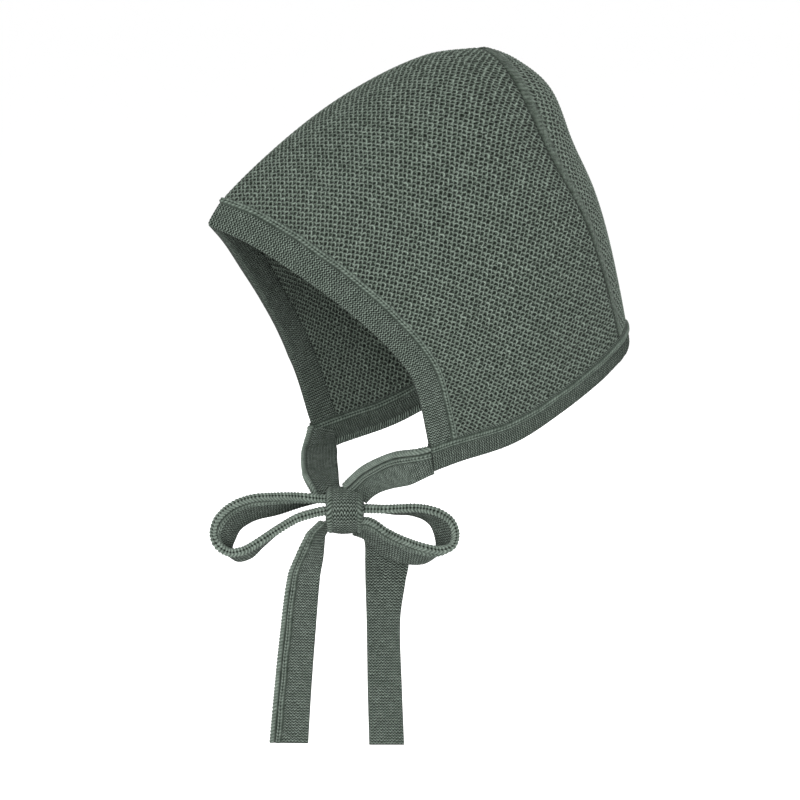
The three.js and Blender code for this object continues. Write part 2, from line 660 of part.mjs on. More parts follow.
// Sage green wool: the crown's moss stitch, and the closer knit of the bands and ties
const wool = (name, hex) => new THREE.MeshStandardMaterial({
  name, color: new THREE.Color(hex), roughness: 0.95, metalness: 0,
});
const mossKnit = wool('knit_main', 0x5f6b60);
const bandKnit = wool('knit_band', 0x5b685d);
const tieKnit = wool('knit_tie', 0x5d6a5f);

function piece(name, geometry, material) {
  const mesh = new THREE.Mesh(geometry, material);
  mesh.name = name;
  return mesh;
}

const bonnet = new THREE.Group();
bonnet.applyMatrix4(tipped);
bonnet.add(
  piece('crown_right', crownPart(-1, -CROWN_SPLIT - splitGap), mossKnit),
  piece('crown_top', crownPart(-CROWN_SPLIT + splitGap, CROWN_SPLIT - splitGap), mossKnit),
  piece('crown_left', crownPart(CROWN_SPLIT + splitGap, 1), mossKnit),
  piece('back_panel', backPanel(), mossKnit),
  piece('face_band', faceBand(), bandKnit),
  piece('neck_band', neckBand(), bandKnit),
);
const ties = new THREE.Group();
ties.add(
  piece('strap_left', chinStrap(1, false, LEFT_STRAP_END), tieKnit),
  piece('strap_right', chinStrap(-1, true, RIGHT_STRAP_END), tieKnit),
  piece('bow_knot', bowKnot(), tieKnit),
  piece('bow_loop_left', bowLoop(LEFT_LOOP, -1, LEFT_LOOP_REACH, LEFT_LOOP_HEIGHT), tieKnit),
  piece('bow_loop_right', bowLoop(RIGHT_LOOP, 1, RIGHT_LOOP_REACH, RIGHT_LOOP_HEIGHT), tieKnit),
  piece('tail_left', bowTail(LEFT_TAIL, LEFT_TAIL_LENGTH), tieKnit),
  piece('tail_right', bowTail(RIGHT_TAIL, RIGHT_TAIL_LENGTH), tieKnit),
);

const group = new THREE.Group();
group.add(bonnet, ties);
export default group;
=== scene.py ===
import math

import bmesh
import bpy
import numpy as np
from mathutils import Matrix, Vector


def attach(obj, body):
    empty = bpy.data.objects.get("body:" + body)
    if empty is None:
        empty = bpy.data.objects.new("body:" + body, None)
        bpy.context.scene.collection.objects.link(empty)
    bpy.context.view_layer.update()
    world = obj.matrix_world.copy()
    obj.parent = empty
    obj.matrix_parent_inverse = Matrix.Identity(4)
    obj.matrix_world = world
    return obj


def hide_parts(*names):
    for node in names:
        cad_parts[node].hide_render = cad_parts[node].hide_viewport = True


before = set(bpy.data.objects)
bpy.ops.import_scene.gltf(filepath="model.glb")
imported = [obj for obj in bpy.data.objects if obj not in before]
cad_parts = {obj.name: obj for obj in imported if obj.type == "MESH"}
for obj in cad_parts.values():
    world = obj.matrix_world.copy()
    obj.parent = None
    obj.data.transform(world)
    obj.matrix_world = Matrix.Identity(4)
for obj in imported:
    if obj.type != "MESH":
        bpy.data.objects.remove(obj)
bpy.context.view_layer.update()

# Knitted baby bonnet, tied in a bow under the chin. Sizes are millimetres until a mesh is made.
MM = 0.001

# Sizes of the bonnet, as in the part's source
CROWN_DEPTH = 144
CROWN_HEIGHT = 128
HALF_WIDTH = 58
BACK_BULGE = 28
NOSE_TILT = 28
KNIT_WALL = 2.4
SEAM_GAP = 0.3
FACE_BAND_WIDTH = 12
FACE_BAND_THICK = 3.6
NECK_BAND_WIDTH = 12.5
NECK_BAND_THICK = 3.6
SEAM_STRIP_WIDTH = 3.6

# Sizes of the ties and the bow, which hangs 1.8 mm lower in cloth than its solids do
TIE_WIDTH = 15
CHIN_DROP = 187.3
CHIN_SETBACK = 63.4
BOW_TURN = 60
KNOT_WIDTH = 15.6
KNOT_HEIGHT = 19
KNOT_DEPTH = 15
LEFT_LOOP_REACH = 46.5
LEFT_LOOP_HEIGHT = 24
RIGHT_LOOP_REACH = 39
RIGHT_LOOP_HEIGHT = 21
LEFT_TAIL_LENGTH = 86
RIGHT_TAIL_LENGTH = 87.5

# Knitting sizes: a cell of the centred stitch pattern is two courses by one wale
MOSS_COURSES = 2.5
MOSS_WALE = 2.85
BAND_ROWS = 2.2
BAND_WALE = 1.25
TIE_ROWS = 2.38
TIE_WALE = 1.3
CHAIN_LINK = 1.36
FINE_STEP = 0.34


def table(columns, *rows):
    names = columns.split()
    return {name: np.array([row[i] for row in rows], float) for i, name in enumerate(names)}


SECTIONS = table(
    "depth wide rise widest round neck_wide drop",
    (0.00, 0.89, -0.015, 0.66, 1.20, 0.86, 0.893),
    (0.10, 0.92, 0.036, 0.66, 1.36, 0.87, 0.912),
    (0.35, 1.00, 0.082, 0.60, 1.70, 0.90, 0.965),
    (0.60, 1.03, 0.093, 0.56, 1.90, 0.87, 0.980),
    (0.85, 0.93, 0.066, 0.54, 1.90, 0.76, 0.985),
    (1.00, 0.80, 0.000, 0.60, 1.80, 0.64, 0.985),
)
FACE_EDGE = table(
    "down back",
    (0.00, -0.985), (0.15, -0.928), (0.31, -0.880), (0.48, -0.833),
    (0.66, -0.795), (0.80, -0.785), (1.00, -0.817),
)
BACK_SEAM = table(
    "down back",
    (0.00, 0.015), (0.12, 0.005), (0.41, -0.063), (0.61, -0.070), (0.84, -0.088), (1.00, -0.095),
)
BACK_PROFILE = table(
    "down out sag",
    (0.00, 0.02, 0.000), (0.12, 0.49, 0.045), (0.30, 0.97, 0.035),
    (0.50, 1.00, 0.020), (0.75, 0.91, 0.015), (1.00, 0.70, 0.020),
)


# Smooth line through the rows of a table, for the column named
def read_table(rows, key, column, at):
    xs, ys = rows[key], rows[column]
    last = len(xs) - 1
    before = np.maximum(np.arange(last + 1) - 1, 0)
    after = np.minimum(np.arange(last + 1) + 1, last)
    slopes = (ys[after] - ys[before]) / (xs[after] - xs[before])
    x = np.clip(at, xs[0], xs[-1])
    i = np.clip(np.searchsorted(xs, x) - 1, 0, last - 1)
    span = xs[i + 1] - xs[i]
    s = (x - xs[i]) / span
    rise = ys[i + 1] - ys[i]
    a, b = slopes[i] * span, slopes[i + 1] * span
    return ys[i] + a * s + (3 * rise - 2 * a - b) * s ** 2 + (a + b - 2 * rise) * s ** 3


def ease(value):
    t = np.clip(value, 0, 1)
    return t * t * (3 - 2 * t)


def mix(a, b, share):
    return a + (b - a) * share


def point_of(x, y, z):
    return np.stack(np.broadcast_arrays(x, y, z), axis=-1).astype(float)


def unit(v):
    return v / np.maximum(np.linalg.norm(v, axis=-1, keepdims=True), 1e-12)


def sign(value):
    return np.where(np.asarray(value) < 0, -1.0, 1.0)


# Length walked along a line, at each of its points
def walked(line):
    return np.concatenate([[0], np.cumsum(np.linalg.norm(np.diff(line, axis=0), axis=1))])


# The crown's arch at many depths, each an even walk down its length
ARCH_SAMPLES = 240
FINE_DEPTHS = np.linspace(0, 1, 361)
FINE_DOWNS = np.linspace(0, 1, 421)


def arch_tables():
    column = {name: read_table(SECTIONS, "depth", name, FINE_DEPTHS)[:, None]
              for name in ("wide", "rise", "widest", "round", "neck_wide", "drop")}
    q = np.linspace(0, 2, ARCH_SAMPLES + 1)[None, :]
    turn = np.minimum(q, 1) * math.pi / 2
    below = np.maximum(q - 1, 0)
    bow = 2 / column["round"]
    x = column["wide"] * np.abs(np.sin(turn)) ** bow
    top = 1 - np.abs(np.cos(turn)) ** bow
    z = column["rise"] - (column["rise"] + column["widest"]) * top
    xs = HALF_WIDTH * (x - (column["wide"] - column["neck_wide"]) * below ** 2)
    zs = CROWN_HEIGHT * (z - below * (column["drop"] - column["widest"]))
    steps = np.hypot(np.diff(xs, axis=1), np.diff(zs, axis=1))
    walk = np.concatenate([np.zeros((len(FINE_DEPTHS), 1)), np.cumsum(steps, axis=1)], axis=1)
    even_x = np.empty((len(FINE_DEPTHS), len(FINE_DOWNS)))
    even_z = np.empty_like(even_x)
    for i, length in enumerate(walk):
        even_x[i] = np.interp(FINE_DOWNS, length / length[-1], xs[i])
        even_z[i] = np.interp(FINE_DOWNS, length / length[-1], zs[i])
    return even_x, even_z, walk[:, -1]


ARCH_X, ARCH_Z, ARCH_LENGTH = arch_tables()


def between_rows(grid, depth, down):
    a = np.clip(depth, 0, 1) * (len(FINE_DEPTHS) - 1)
    b = np.clip(down, 0, 1) * (len(FINE_DOWNS) - 1)
    i = np.minimum(a.astype(int), len(FINE_DEPTHS) - 2)
    j = np.minimum(b.astype(int), len(FINE_DOWNS) - 2)
    s, t = a - i, b - j
    return ((1 - s) * ((1 - t) * grid[i, j] + t * grid[i, j + 1])
            + s * ((1 - t) * grid[i + 1, j] + t * grid[i + 1, j + 1]))


# A point of the crown: depth 0 at the face edge to 1 at the back seam, side -1 at the right neck
# edge over 0 at the crown line to 1 at the left neck edge
def crown_point(depth, side):
    depth, side = np.broadcast_arrays(np.asarray(depth, float), np.asarray(side, float))
    down = np.abs(side)
    front = read_table(FACE_EDGE, "down", "back", down)
    rear = read_table(BACK_SEAM, "down", "back", down)
    return point_of(
        np.sign(side) * between_rows(ARCH_X, depth, down),
        CROWN_DEPTH * mix(front, rear, depth),
        between_rows(ARCH_Z, depth, down),
    )


# A point of the back panel: down 0 at the top to 1 at the neck, across -1 to 1 between the seams
def back_point(down, across):
    down, across = np.broadcast_arrays(np.asarray(down, float), np.asarray(across, float))
    seam = crown_point(np.ones_like(down), down)
    hollow = 1 - np.abs(across) ** 2.2
    out = BACK_BULGE * read_table(BACK_PROFILE, "down", "out", down)
    sag = CROWN_HEIGHT * read_table(BACK_PROFILE, "down", "sag", down)
    return point_of(seam[..., 0] * across, seam[..., 1] + out * hollow, seam[..., 2] - sag * hollow)


NUDGE = 0.005


def surface_normal(point, u, v, u_range, v_range):
    du = point(np.clip(u + NUDGE, *u_range), v) - point(np.clip(u - NUDGE, *u_range), v)
    dv = point(u, np.clip(v + NUDGE, *v_range)) - point(u, np.clip(v - NUDGE, *v_range))
    return unit(np.cross(du, dv))


TOP_NORMAL_SIDE = 0.02


def crown_normal(depth, side):
    depth, side = np.broadcast_arrays(np.asarray(depth, float), np.asarray(side, float))
    off = sign(side) * np.maximum(np.abs(side), TOP_NORMAL_SIDE)
    normal = -surface_normal(crown_point, depth, off, (0, 1), (-1, 1))
    normal[..., 0] *= np.minimum(np.abs(side) / TOP_NORMAL_SIDE, 1)
    return unit(normal)


def back_normal(down, across):
    return -surface_normal(back_point, down, across, (NUDGE, 1), (-1, 1))


# The wall's direction through the cloth. At the back seam both panels share one mitre.
SEAM_BLEND = 0.14


def mitre(side):
    down = np.maximum(np.abs(side), TOP_NORMAL_SIDE)
    edge = sign(side)
    return unit(crown_normal(np.ones_like(down), edge * down) + back_normal(down, edge))


def crown_wall(depth, side):
    share = ease((depth - 1 + SEAM_BLEND) / SEAM_BLEND)[..., None]
    return unit(mix(crown_normal(depth, side), mitre(side), share))


def back_wall(down, across):
    share = ease((np.abs(across) - 1 + 2 * SEAM_BLEND) / (2 * SEAM_BLEND))[..., None]
    return unit(mix(back_normal(down, across), mitre(sign(across) * down), share))


# Moves a point through the wall by a height, held short of the middle close to the crown line
MIDDLE_LIMIT = 0.8


def through(point, wall, height):
    height = np.asarray(height, float)
    moved = point + wall * height[..., None]
    limit = MIDDLE_LIMIT * np.abs(point[..., 0])
    held = (height < 0) & (np.abs(wall[..., 0] * height) > limit) & (wall[..., 2] > 0)
    sideways = -np.sign(wall[..., 0]) * limit
    lifted = point[..., 2] + ((height * (1 - wall[..., 1] ** 2) - wall[..., 0] * sideways)
                              / np.where(held, wall[..., 2], 1))
    moved[..., 0] = np.where(held, point[..., 0] + sideways, moved[..., 0])
    moved[..., 2] = np.where(held, lifted, moved[..., 2])
    return moved


# Share of the crown's depth that a length takes, at a place down the arch
def depth_share(length, down):
    front = read_table(FACE_EDGE, "down", "back", down)
    rear = read_table(BACK_SEAM, "down", "back", down)
    return length / (CROWN_DEPTH * (rear - front))


# Tipping the bonnet nose down, with its origin inside the crown
TIP = math.radians(NOSE_TILT)


def turned(v):
    y = v[..., 1] * math.cos(TIP) - v[..., 2] * math.sin(TIP)
    z = v[..., 1] * math.sin(TIP) + v[..., 2] * math.cos(TIP)
    return point_of(v[..., 0], y, z)


SEAM_TOP = turned(crown_point(1.0, 0.0))


def tipped(v):
    return turned(v) + np.array([0, -SEAM_TOP[1], KNIT_WALL - SEAM_TOP[2]])


# Grids of points as meshes
class Patch:
    """Points, faces, pattern places and painted shade shares of one piece, gathered from grids."""

    def __init__(self):
        self.points, self.faces, self.places, self.gaps, self.chains = [], [], [], [], []
        self.count = 0

    def gather(self, points, place, gap, chain, used):
        shape = points.shape[:2]
        self.points.append(points.reshape(-1, 3)[used])
        self.places.append(np.broadcast_to(place, shape + (2,)).reshape(-1, 2)[used])
        self.gaps.append(np.broadcast_to(gap, shape).reshape(-1)[used])
        self.chains.append(np.broadcast_to(chain, shape).reshape(-1)[used])
        self.count += len(used)

    def grid(self, points, place, gap, chain, flip=False, keep=None):
        rows, columns = points.shape[:2]
        ids = np.arange(rows * columns).reshape(rows, columns)
        if keep is not None:
            ids = keep(ids)
        quads = np.stack([ids[:-1, :-1], ids[1:, :-1], ids[1:, 1:], ids[:-1, 1:]], axis=-1)
        quads = quads.reshape(-1, 4)
        if flip:
            quads = quads[:, ::-1]
        same = quads == np.roll(quads, -1, axis=1)
        whole = quads[~same.any(axis=1)]
        used = np.unique(ids)
        thirds = []
        for row, merged in zip(quads[same.sum(axis=1) == 1], same[same.sum(axis=1) == 1]):
            thirds.append([int(v) for v, gone in zip(row, merged) if not gone])
        renumber = np.full(rows * columns, -1)
        renumber[used] = np.arange(len(used)) + self.count
        self.faces += renumber[whole].tolist()
        self.faces += [[int(renumber[v]) for v in face] for face in thirds]
        self.gather(points, place, gap, chain, used)

    def tube(self, points, place, gap, chain):
        """A grid whose columns close on themselves, with a ladder of quads over each end."""
        rows, columns = points.shape[:2]
        base = self.count
        ids = base + np.arange(rows * columns).reshape(rows, columns)
        nxt = np.roll(ids, -1, axis=1)
        quads = np.stack([ids[:-1], nxt[:-1], nxt[1:], ids[1:]], axis=-1).reshape(-1, 4)
        faces = quads.tolist()
        for i in range(columns // 2 - 1):
            j = columns - 1 - i
            a, b = ids[0], ids[-1]
            faces.append([int(a[j]), int(a[j - 1]), int(a[i + 1]), int(a[i])])
            faces.append([int(b[i]), int(b[i + 1]), int(b[j - 1]), int(b[j])])
        self.faces += faces
        self.gather(points, place, gap, chain, np.arange(rows * columns))

    def object(self, name, material, bridge=False):
        points = np.concatenate(self.points) * MM
        mesh = bpy.data.meshes.new(name + "_knit")
        mesh.from_pydata(points.tolist(), [], self.faces)
        places = np.concatenate(self.places)
        loops = np.empty(len(mesh.loops), dtype=np.int32)
        mesh.loops.foreach_get("vertex_index", loops)
        stitches = mesh.uv_layers.new(name="stitches")
        stitches.data.foreach_set("uv", places[loops].astype(np.float32).reshape(-1))
        # The painted shade shares and the chain shares go to the material as point attributes
        for title, values in (("gap", self.gaps), ("chain", self.chains)):
            layer = mesh.attributes.new(title, "FLOAT", "POINT")
            layer.data.foreach_set("value", np.concatenate(values).astype(np.float32))
        made = bmesh.new()
        made.from_mesh(mesh)
        if bridge:
            rims = [edge for edge in made.edges if edge.is_boundary]
            bmesh.ops.bridge_loops(made, edges=rims)
        bmesh.ops.dissolve_degenerate(made, edges=made.edges, dist=1e-7)
        bmesh.ops.recalc_face_normals(made, faces=made.faces)
        made.to_mesh(mesh)
        made.free()
        mesh.shade_smooth()
        mesh.materials.append(material)
        piece = bpy.data.objects.new(name + "_knit", mesh)
        bpy.context.scene.collection.objects.link(piece)
        return piece


# Knit relief: bumps on a centred pattern, one cell being a unit each way
def stitch_bumps(p, q):
    return np.cos(2 * math.pi * p) * np.cos(2 * math.pi * q)


# A linked chain seen from above: two round strands side by side with slanted links, painted shade in the
# groove between them, between the links and along both sides. off is millimetres from the chain's middle.
# Gives the height, the painted shade and where the chain lies.
STRAND_PLACE = 0.50
STRAND_HALF = 0.50
CHAIN_HIGH = 0.70
LINK_RELIEF = 0.26
LINK_SHADE = 0.26
GROOVE_SHADE = 0.65
BESIDE_SHADE = 0.70
DARKEST = 0.92


# Hand knitting is never even: a slow drift of the stitches along a length
def drift(along):
    return 0.22 * np.sin(along / 3.7) + 0.17 * np.sin(along / 1.53 + 1.0) + 0.12 * np.sin(along / 9.1)


def chain(off, along):
    far = np.abs(off + 0.10 * np.sin(along / 2.9))
    strand = np.clip(1 - ((far - STRAND_PLACE) / STRAND_HALF) ** 2, 0, 1) ** 0.5
    links = np.cos(2 * math.pi * ((along + drift(along)) / CHAIN_LINK + 0.50 * far))
    height = strand * (CHAIN_HIGH + LINK_RELIEF * links)
    inside = ease((STRAND_PLACE + STRAND_HALF - far) / 0.2)
    groove = np.exp(-(far / 0.18) ** 2)
    beside = np.exp(-((far - STRAND_PLACE - STRAND_HALF - 0.25) / 0.34) ** 2)
    dark = inside * (LINK_SHADE * (0.8 - links) + GROOVE_SHADE * groove) + BESIDE_SHADE * beside
    return height, np.clip(dark, 0, DARKEST), np.clip(inside + beside, 0, 1)


# Materials
def node_group(name, inputs, outputs):
    group = bpy.data.node_groups.new(name, "ShaderNodeTree")
    for title, kind, value in inputs:
        socket = group.interface.new_socket(title, in_out="INPUT", socket_type=kind)
        if value is not None:
            socket.default_value = value
    for title, kind in outputs:
        group.interface.new_socket(title, in_out="OUTPUT", socket_type=kind)
    return group, group.nodes.new("NodeGroupInput"), group.nodes.new("NodeGroupOutput")


class Maths:
    """Short names for math nodes in one tree."""

    def __init__(self, tree):
        self.tree = tree

    def __call__(self, operation, *values, clamp=False):
        node = self.tree.nodes.new("ShaderNodeMath")
        node.operation = operation
        node.use_clamp = clamp
        for i, value in enumerate(values):
            if isinstance(value, (int, float)):
                node.inputs[i].default_value = value
            else:
                self.tree.links.new(value, node.inputs[i])
        return node.outputs[0]

    def ramp(self, value, low, high):
        node = self.tree.nodes.new("ShaderNodeMapRange")
        node.interpolation_type = "SMOOTHSTEP"
        self.tree.links.new(value, node.inputs["Value"])
        node.inputs["From Min"].default_value = low
        node.inputs["From Max"].default_value = high
        return node.outputs["Result"]

    def blend(self, share, a, b):
        node = self.tree.nodes.new("ShaderNodeMix")
        node.data_type = "RGBA"
        for socket, value in zip((node.inputs[0], node.inputs[6], node.inputs[7]), (share, a, b)):
            if isinstance(value, (int, float)):
                socket.default_value = value
            elif isinstance(value, tuple):
                socket.default_value = value
            else:
                self.tree.links.new(value, socket)
        return node.outputs[2]


# Courses of yarn in round arcs with a cusp between them, the forward part of each arc on top. Shift
# is how far each course is off the last one, in half wales, and Under how much lower every second
# one lies. Besides the height it gives a painted highlight on the yarn's top and painted shade in the gaps
# between.
# Width of the painted highlight, and where the painted shade in the gaps starts and is full
CREST_NARROW = 2.6
GAP_STARTS = 0.55
GAP_FULL = -0.75


def yarn_courses():
    group, given, made = node_group(
        "yarn_courses",
        [("Place", "NodeSocketVector", None), ("Courses", "NodeSocketFloat", MOSS_COURSES),
         ("Wale", "NodeSocketFloat", MOSS_WALE), ("Swing", "NodeSocketFloat", 0.26),
         ("Yarn", "NodeSocketFloat", 0.19), ("Lift", "NodeSocketFloat", 0.45),
         ("Shift", "NodeSocketFloat", 1.0), ("Under", "NodeSocketFloat", 0.3)],
        [("Height", "NodeSocketFloat"), ("Painted Highlight", "NodeSocketFloat"), ("Painted Shade", "NodeSocketFloat")],
    )
    m = Maths(group)
    parts = group.nodes.new("ShaderNodeSeparateXYZ")
    group.links.new(given.outputs["Place"], parts.inputs[0])
    p = m("ADD", m("DIVIDE", parts.outputs[0], given.outputs["Courses"]), 0.25)
    q = m("DIVIDE", parts.outputs[1], given.outputs["Wale"])
    nearest = m("ROUND", m("MULTIPLY", p, 2.0))
    highest, crest = None, None
    for step in (-1.0, 0.0, 1.0):
        course = m("ADD", nearest, step)
        shifted = m("MULTIPLY", course, given.outputs["Shift"])
        half_turn = m("MULTIPLY", m("ADD", q, m("MULTIPLY", shifted, 0.5)), math.pi)
        arc = m("ABSOLUTE", m("COSINE", half_turn))
        swing = m("SUBTRACT", m("MULTIPLY", arc, 2.0), 1.0)
        middle = m("ADD", m("MULTIPLY", course, 0.5), m("MULTIPLY", given.outputs["Swing"], swing))
        slope = m("MULTIPLY", m("MULTIPLY", m("SINE", half_turn), given.outputs["Swing"]), 2 * math.pi)
        squeeze = m("SQRT", m("ADD", m("MULTIPLY", slope, slope), 1.0))
        off = m("DIVIDE", m("DIVIDE", m("SUBTRACT", p, middle), squeeze), given.outputs["Yarn"])
        body = m("SUBTRACT", 1.0, m("MULTIPLY", off, off))
        second = m("PINGPONG", course, 1.0)
        lower = m("MULTIPLY", second, given.outputs["Under"])
        height = m("SUBTRACT", m("ADD", body, m("MULTIPLY", given.outputs["Lift"], swing)), lower)
        forward = m("SUBTRACT", m("ADD", 0.55, m("MULTIPLY", arc, 0.45)), lower)
        thin = m("SUBTRACT", 1.0, m("MULTIPLY", m("MULTIPLY", off, off), CREST_NARROW), clamp=True)
        top = m("MULTIPLY", thin, forward)
        highest = height if highest is None else m("MAXIMUM", highest, height)
        crest = top if crest is None else m("MAXIMUM", crest, top)
    floor = m("MAXIMUM", highest, -1.0)
    group.links.new(m("MULTIPLY", floor, 0.5), made.inputs["Height"])
    group.links.new(crest, made.inputs["Painted Highlight"])
    group.links.new(m.ramp(floor, GAP_STARTS, GAP_FULL), made.inputs["Painted Shade"])
    return group


# Loose fibres: a fine uneven field that breaks up the yarn's edge and shade
FUZZ_SIZE = dict(size=2600.0, detail=3.0, rough=0.65)
HEATHER_SIZE = dict(size=420.0, detail=2.0, rough=0.5)


def wool_fibres():
    group, given, made = node_group(
        "wool_fibres",
        [("Place", "NodeSocketVector", None), ("Scale", "NodeSocketFloat", 1.0)],
        [("Fuzz", "NodeSocketFloat"), ("Heather", "NodeSocketFloat"), ("Pull", "NodeSocketVector")],
    )
    m = Maths(group)
    scaled = []
    for kind in (FUZZ_SIZE, HEATHER_SIZE):
        noise = group.nodes.new("ShaderNodeTexNoise")
        group.links.new(given.outputs["Place"], noise.inputs["Vector"])
        group.links.new(m("MULTIPLY", given.outputs["Scale"], kind["size"]), noise.inputs["Scale"])
        noise.inputs["Detail"].default_value = kind["detail"]
        noise.inputs["Roughness"].default_value = kind["rough"]
        scaled.append(noise)
    group.links.new(scaled[0].outputs["Fac"], made.inputs["Fuzz"])
    group.links.new(scaled[1].outputs["Fac"], made.inputs["Heather"])
    centred = group.nodes.new("ShaderNodeVectorMath")
    centred.operation = "SUBTRACT"
    group.links.new(scaled[1].outputs["Color"], centred.inputs[0])
    centred.inputs[1].default_value = (0.5, 0.5, 0.5)
    group.links.new(centred.outputs[0], made.inputs["Pull"])
    return group


YARN_COURSES = yarn_courses()
WOOL_FIBRES = wool_fibres()


# How strongly the chains get the painted highlight
CHAIN_LIT = 0.80
HEATHER_SHADE = 0.9
FUZZ_RELIEF = 0.35
PLAIN_ROUGHNESS = 0.82
FUZZ_ROUGHNESS = 0.16
SHEEN_TINT = (0.62, 0.70, 0.64, 1)
# Colour of the painted shade in gaps, grooves and on inner faces
PAINTED_SHADE_COLOUR = (0.002, 0.004, 0.002, 1)


# Wool in one knit: light, a painted highlight, on the yarn's crests and the chains, mid on its flanks, and
# painted shade deep in the gaps.
# depth is the relief in millimetres, uneven how far the stitches stray, and yarn the group's values.
def knit_material(name, light, mid, depth, uneven, **yarn):
    material = bpy.data.materials.new(name)
    material.use_nodes = True
    tree = material.node_tree
    m = Maths(tree)
    shader = tree.nodes["Principled BSDF"]

    def node(kind, **settings):
        made = tree.nodes.new("ShaderNode" + kind)
        for title, value in settings.items():
            setattr(made, title, value)
        return made

    place = node("UVMap", uv_map="stitches")
    stitches = node("Group", node_tree=YARN_COURSES)
    for title, value in yarn.items():
        stitches.inputs[title.capitalize()].default_value = value
    fibres = node("Group", node_tree=WOOL_FIBRES)
    tree.links.new(node("TexCoord").outputs["Object"], fibres.inputs["Place"])
    pull = node("VectorMath", operation="MULTIPLY_ADD")
    tree.links.new(fibres.outputs["Pull"], pull.inputs[0])
    pull.inputs[1].default_value = (uneven, uneven, 0)
    tree.links.new(place.outputs["UV"], pull.inputs[2])
    tree.links.new(pull.outputs[0], stitches.inputs["Place"])
    # Painted shade shares from the mesh, and where its chains lie
    hollow = node("Attribute", attribute_name="gap").outputs["Fac"]
    chained = node("Attribute", attribute_name="chain").outputs["Fac"]
    plain = m("SUBTRACT", 1.0, chained, clamp=True)
    # Painted shade from the stitch gaps and from the mesh's painted shade shares
    holes = m("MULTIPLY", stitches.outputs["Painted Shade"], plain)
    shade = m("MAXIMUM", holes, hollow, clamp=True)
    height = m("MULTIPLY", stitches.outputs["Height"], plain)
    # Painted highlight on the yarn's crests and on the chains
    links = m("MULTIPLY", m("SUBTRACT", 1.0, hollow), m("MULTIPLY", chained, CHAIN_LIT))
    lit = m("MAXIMUM", m("MULTIPLY", stitches.outputs["Painted Highlight"], plain), links)
    heather = m("MULTIPLY", m("SUBTRACT", fibres.outputs["Heather"], 0.5), HEATHER_SHADE)
    colour = m.blend(m("ADD", lit, heather, clamp=True), mid, light)
    tree.links.new(m.blend(shade, colour, PAINTED_SHADE_COLOUR), shader.inputs["Base Color"])
    fuzz = m("MULTIPLY", fibres.outputs["Fuzz"], FUZZ_ROUGHNESS)
    tree.links.new(m("ADD", PLAIN_ROUGHNESS, fuzz, clamp=True), shader.inputs["Roughness"])
    bump = node("Bump")
    bump.inputs["Strength"].default_value = 1.0
    bump.inputs["Distance"].default_value = depth * MM
    fuzzed = m("ADD", height, m("MULTIPLY", fibres.outputs["Fuzz"], FUZZ_RELIEF))
    tree.links.new(fuzzed, bump.inputs["Height"])
    tree.links.new(bump.outputs["Normal"], shader.inputs["Normal"])
    shader.inputs["Sheen Weight"].default_value = 0.10
    shader.inputs["Sheen Roughness"].default_value = 0.45
    shader.inputs["Sheen Tint"].default_value = SHEEN_TINT
    shader.inputs["Specular IOR Level"].default_value = 0.1
    return material


KNIT_MAIN = knit_material(
    "knit_main", light=(0.158, 0.194, 0.163, 1), mid=(0.030, 0.042, 0.031, 1), depth=1.0, uneven=1.7,
    courses=MOSS_COURSES, wale=MOSS_WALE, swing=0.32, yarn=0.17, shift=1.0, under=0.42)
KNIT_BAND = knit_material(
    "knit_band", light=(0.162, 0.200, 0.169, 1), mid=(0.026, 0.037, 0.028, 1), depth=0.7, uneven=0.8,
    courses=BAND_ROWS, wale=BAND_WALE, swing=0.15, yarn=0.135, shift=0.0, under=0.0)
KNIT_TIE = knit_material(
    "knit_tie", light=(0.178, 0.216, 0.185, 1), mid=(0.028, 0.039, 0.030, 1), depth=0.8, uneven=0.9,
    courses=TIE_ROWS, wale=TIE_WALE, swing=0.16, yarn=0.14, shift=0.0, under=0.0)


def dress(piece, slot, flat, held, rests_on, area, *nodes):
    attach(piece, "root")
    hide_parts(*nodes)


# Crown panel: courses run in planes from face to back, wales run round the arch
SAMPLES = 4
WALES_HALF = 58
MOSS_RELIEF = 0.32
UNDER_BAND = 0.55
SNAP = 0.35
STITCHES_FADE = 2.0
SEAM_DIP = 0.25
SEAM_DIP_WIDTH = 1.6
# Painted shade near the back seam, and over the inner faces of both panels
SEAM_SHADE = 0.6
INNER_SHADE = 0.12
INNER_SHIFT = (0.6, 1.1)

# How far apart the courses lie from the face to the back, in millimetres: the back is stretched
COURSE_PITCH = table(
    "back pitch",
    (-160, 2.20), (-85, 2.20), (-60, 2.50), (-25, 2.95), (10, 3.00),
)
COURSE_BACKS = np.linspace(-160, 10, 1701)
COURSE_COUNTS = np.concatenate([[0], np.cumsum(0.1 / read_table(COURSE_PITCH, "back", "pitch",
                                                                COURSE_BACKS[1:]))])
COURSE_COUNTS = COURSE_COUNTS - np.interp(0.0, COURSE_BACKS, COURSE_COUNTS)


